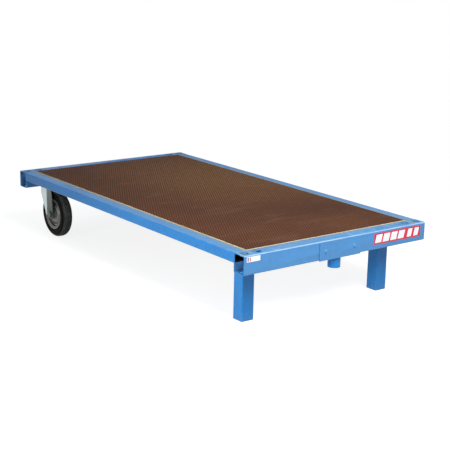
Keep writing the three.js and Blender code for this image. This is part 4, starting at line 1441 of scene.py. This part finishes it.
def bush(side):
    return facets(about_axle(sleeve(AXLE_BORE, f"{side}_wheel_bush", 0.8 * MM), side, 96))


print("hubs", round(size("left_wheel_hub").y / MM), "mm long")

# %% Put the wheels together
for side, way in (("left", 1), ("right", -1)):
    wheel = f"{side}_wheel"
    for place, direction in (("outer", way), ("inner", -way)):
        shell = broken_arrises(rim_half(side, direction), 0.6 * MM, sharper_than=60)
        add_piece(f"{side}_rim_{place}_pressed", shell, [RIM_PAINT], "rim_steel",
                  [f"{side}_rim_half_{place}"], wheel)
    add_piece(f"{side}_rim_rivets", rim_rivets(side), [ZINC], "zinc", body=wheel)
    add_piece(f"{side}_hub_turned", welded_hub(side), [RIM_PAINT], "rim_steel", [f"{wheel}_hub"], wheel)
    add_piece(f"{side}_bush_turned", bush(side), [BRONZE], "bush_bronze", [f"{wheel}_bush"], wheel)
print("two rims,", 2 * RIVETS, "rivets, two hubs with their bushes")

# %% Tyres
SHOULDER = 22 * MM
# mm: radius and distance from the wheel's middle, from the seat to the raised ring's foot
TYRE_FOOT = [(72.3, 19), (85.6, 23.9), (88.4, 26.6), (91.5, 29)]
# mm: radius and depth below the side's face, over the raised ring and the groove behind it
TYRE_RING = [(94, 0), (96.4, 0), (97, 0.8), (99.6, 0.8), (100.2, 0)]


def tyre_profile(radius, side):
    """Half a tyre's section, from the seat over the sidewall to the middle of the tread."""
    points = [(r * MM, along * MM) for r, along in TYRE_FOOT]
    points += [(r * MM, side - depth * MM) for r, depth in TYRE_RING]
    centre = (radius - SHOULDER, side - SHOULDER)
    return points + [tuple(p) for p in arc(centre, SHOULDER, math.pi / 2, 0, 12)] + [(radius, 0.7 * MM)]


for side in SIDES:
    tyre = f"{side}_tyre"
    radius = size(tyre).x / 2
    half = tyre_profile(radius, size(tyre).y / 2)
    profile = half + [(radius - 0.5 * MM, 0)] + [(r, -along) for r, along in half[::-1]]
    add_piece(f"{tyre}_moulded", facets(about_axle(profile, side, 160), 40), [RUBBER], "rubber",
              [tyre], f"{side}_wheel")
print("tyres", round(size("left_tyre").x / MM), "mm across,", round(size("left_tyre").y / MM), "mm wide")

# %% [markdown]
# ## Blank labels
# The front web carries two vinyl labels: a small white one with two ink bars, and a long red one with
# white bars. They are printed foil, a fifth of a millimetre thick, with rounded corners. The bars are
# plain, so this cart names nobody. Each bar is its own thin slab, which stands a twentieth of a
# millimetre proud, as a layer of screen ink does.

# %% Label finishes


def vinyl(name, colour, rough=0.34):
    """Printed foil: one colour with a little handling dirt and a slight waviness."""
    return mottled(name, (colour, colour), dict(scale=120, detail=4), (dict(scale=45), 0.15 * MM, 0.3),
                   rough, stain=("#6e6a66", 0.12, dict(scale=120, detail=4, start=0.5, end=0.75)),
                   specular=0.2)


WHITE_FOIL = vinyl("white vinyl foil", "#e4e9f0")
RED_FOIL = vinyl("red vinyl foil", "#cf2f45")
BLACK_INK = vinyl("black screen ink", "#14122a", 0.5)
print("foils:", WHITE_FOIL.name, "|", RED_FOIL.name)

# %% Cut and stick the labels
FOIL = 0.2 * MM
INK = 0.05 * MM
# mm from an end of the web and above the floor: start, low, end, high
WHITE_LABEL, INK_BAR, INK_STEP = (13, 311, 83, 333), (17, 313.5, 22.5, 330.5), 11
RED_LABEL, WHITE_BAR = (-321, 278, -29, 329), (285, 322)
WHITE_BARS = [(311, 273), (264, 226), (217, 179), (170, 132), (112, 84), (70, 42)]
BAR_SLANT = 0.25


def slab(end, edges, layer, radius, slant=0.0, material=0):
    """A thin rounded slab on the front web. slant pushes its top edge sideways."""
    y0, z0, y1, z1 = (edge * MM for edge in edges)
    centre = Vector((end + (y0 + y1) / 2, (z0 + z1) / 2))
    outline = [Vector((p.x + slant * p.y, p.y)) + centre
               for p in rounded_outline(y1 - y0, z1 - z0, radius, 4)]
    start, thickness = (WEB, FOIL) if layer == FOIL else (WEB + FOIL, INK)
    mesh = prism(outline, "X", start, start + thickness)
    for polygon in mesh.polygons:
        polygon.material_index = material
    return mesh


WEB = high("front_channel_left").x
start_y, end_y = low("front_channel_right").y, high("front_channel_left").y
stamp = slab(start_y, WHITE_LABEL, FOIL, 1.5 * MM)
bars = []
for number in range(2):
    y0, z0, y1, z1 = INK_BAR
    bar = (y0 + INK_STEP * number, z0, y1 + INK_STEP * number, z1)
    bars.append(slab(start_y, bar, INK, 0.4 * MM, material=1 + number))
add_piece("blank_white_label", joined(stamp, *bars), [WHITE_FOIL, BLACK_INK, RED_FOIL], "paint")

base = slab(end_y, RED_LABEL, FOIL, 3 * MM)
bars = [slab(end_y, (-start, WHITE_BAR[0], -end, WHITE_BAR[1]), INK, 1.5 * MM, BAR_SLANT, 1)
        for start, end in WHITE_BARS]
add_piece("blank_red_label", joined(base, *bars), [RED_FOIL, WHITE_FOIL], "paint")
print("two labels stuck on the front web, with", 2 + len(WHITE_BARS), "bars")
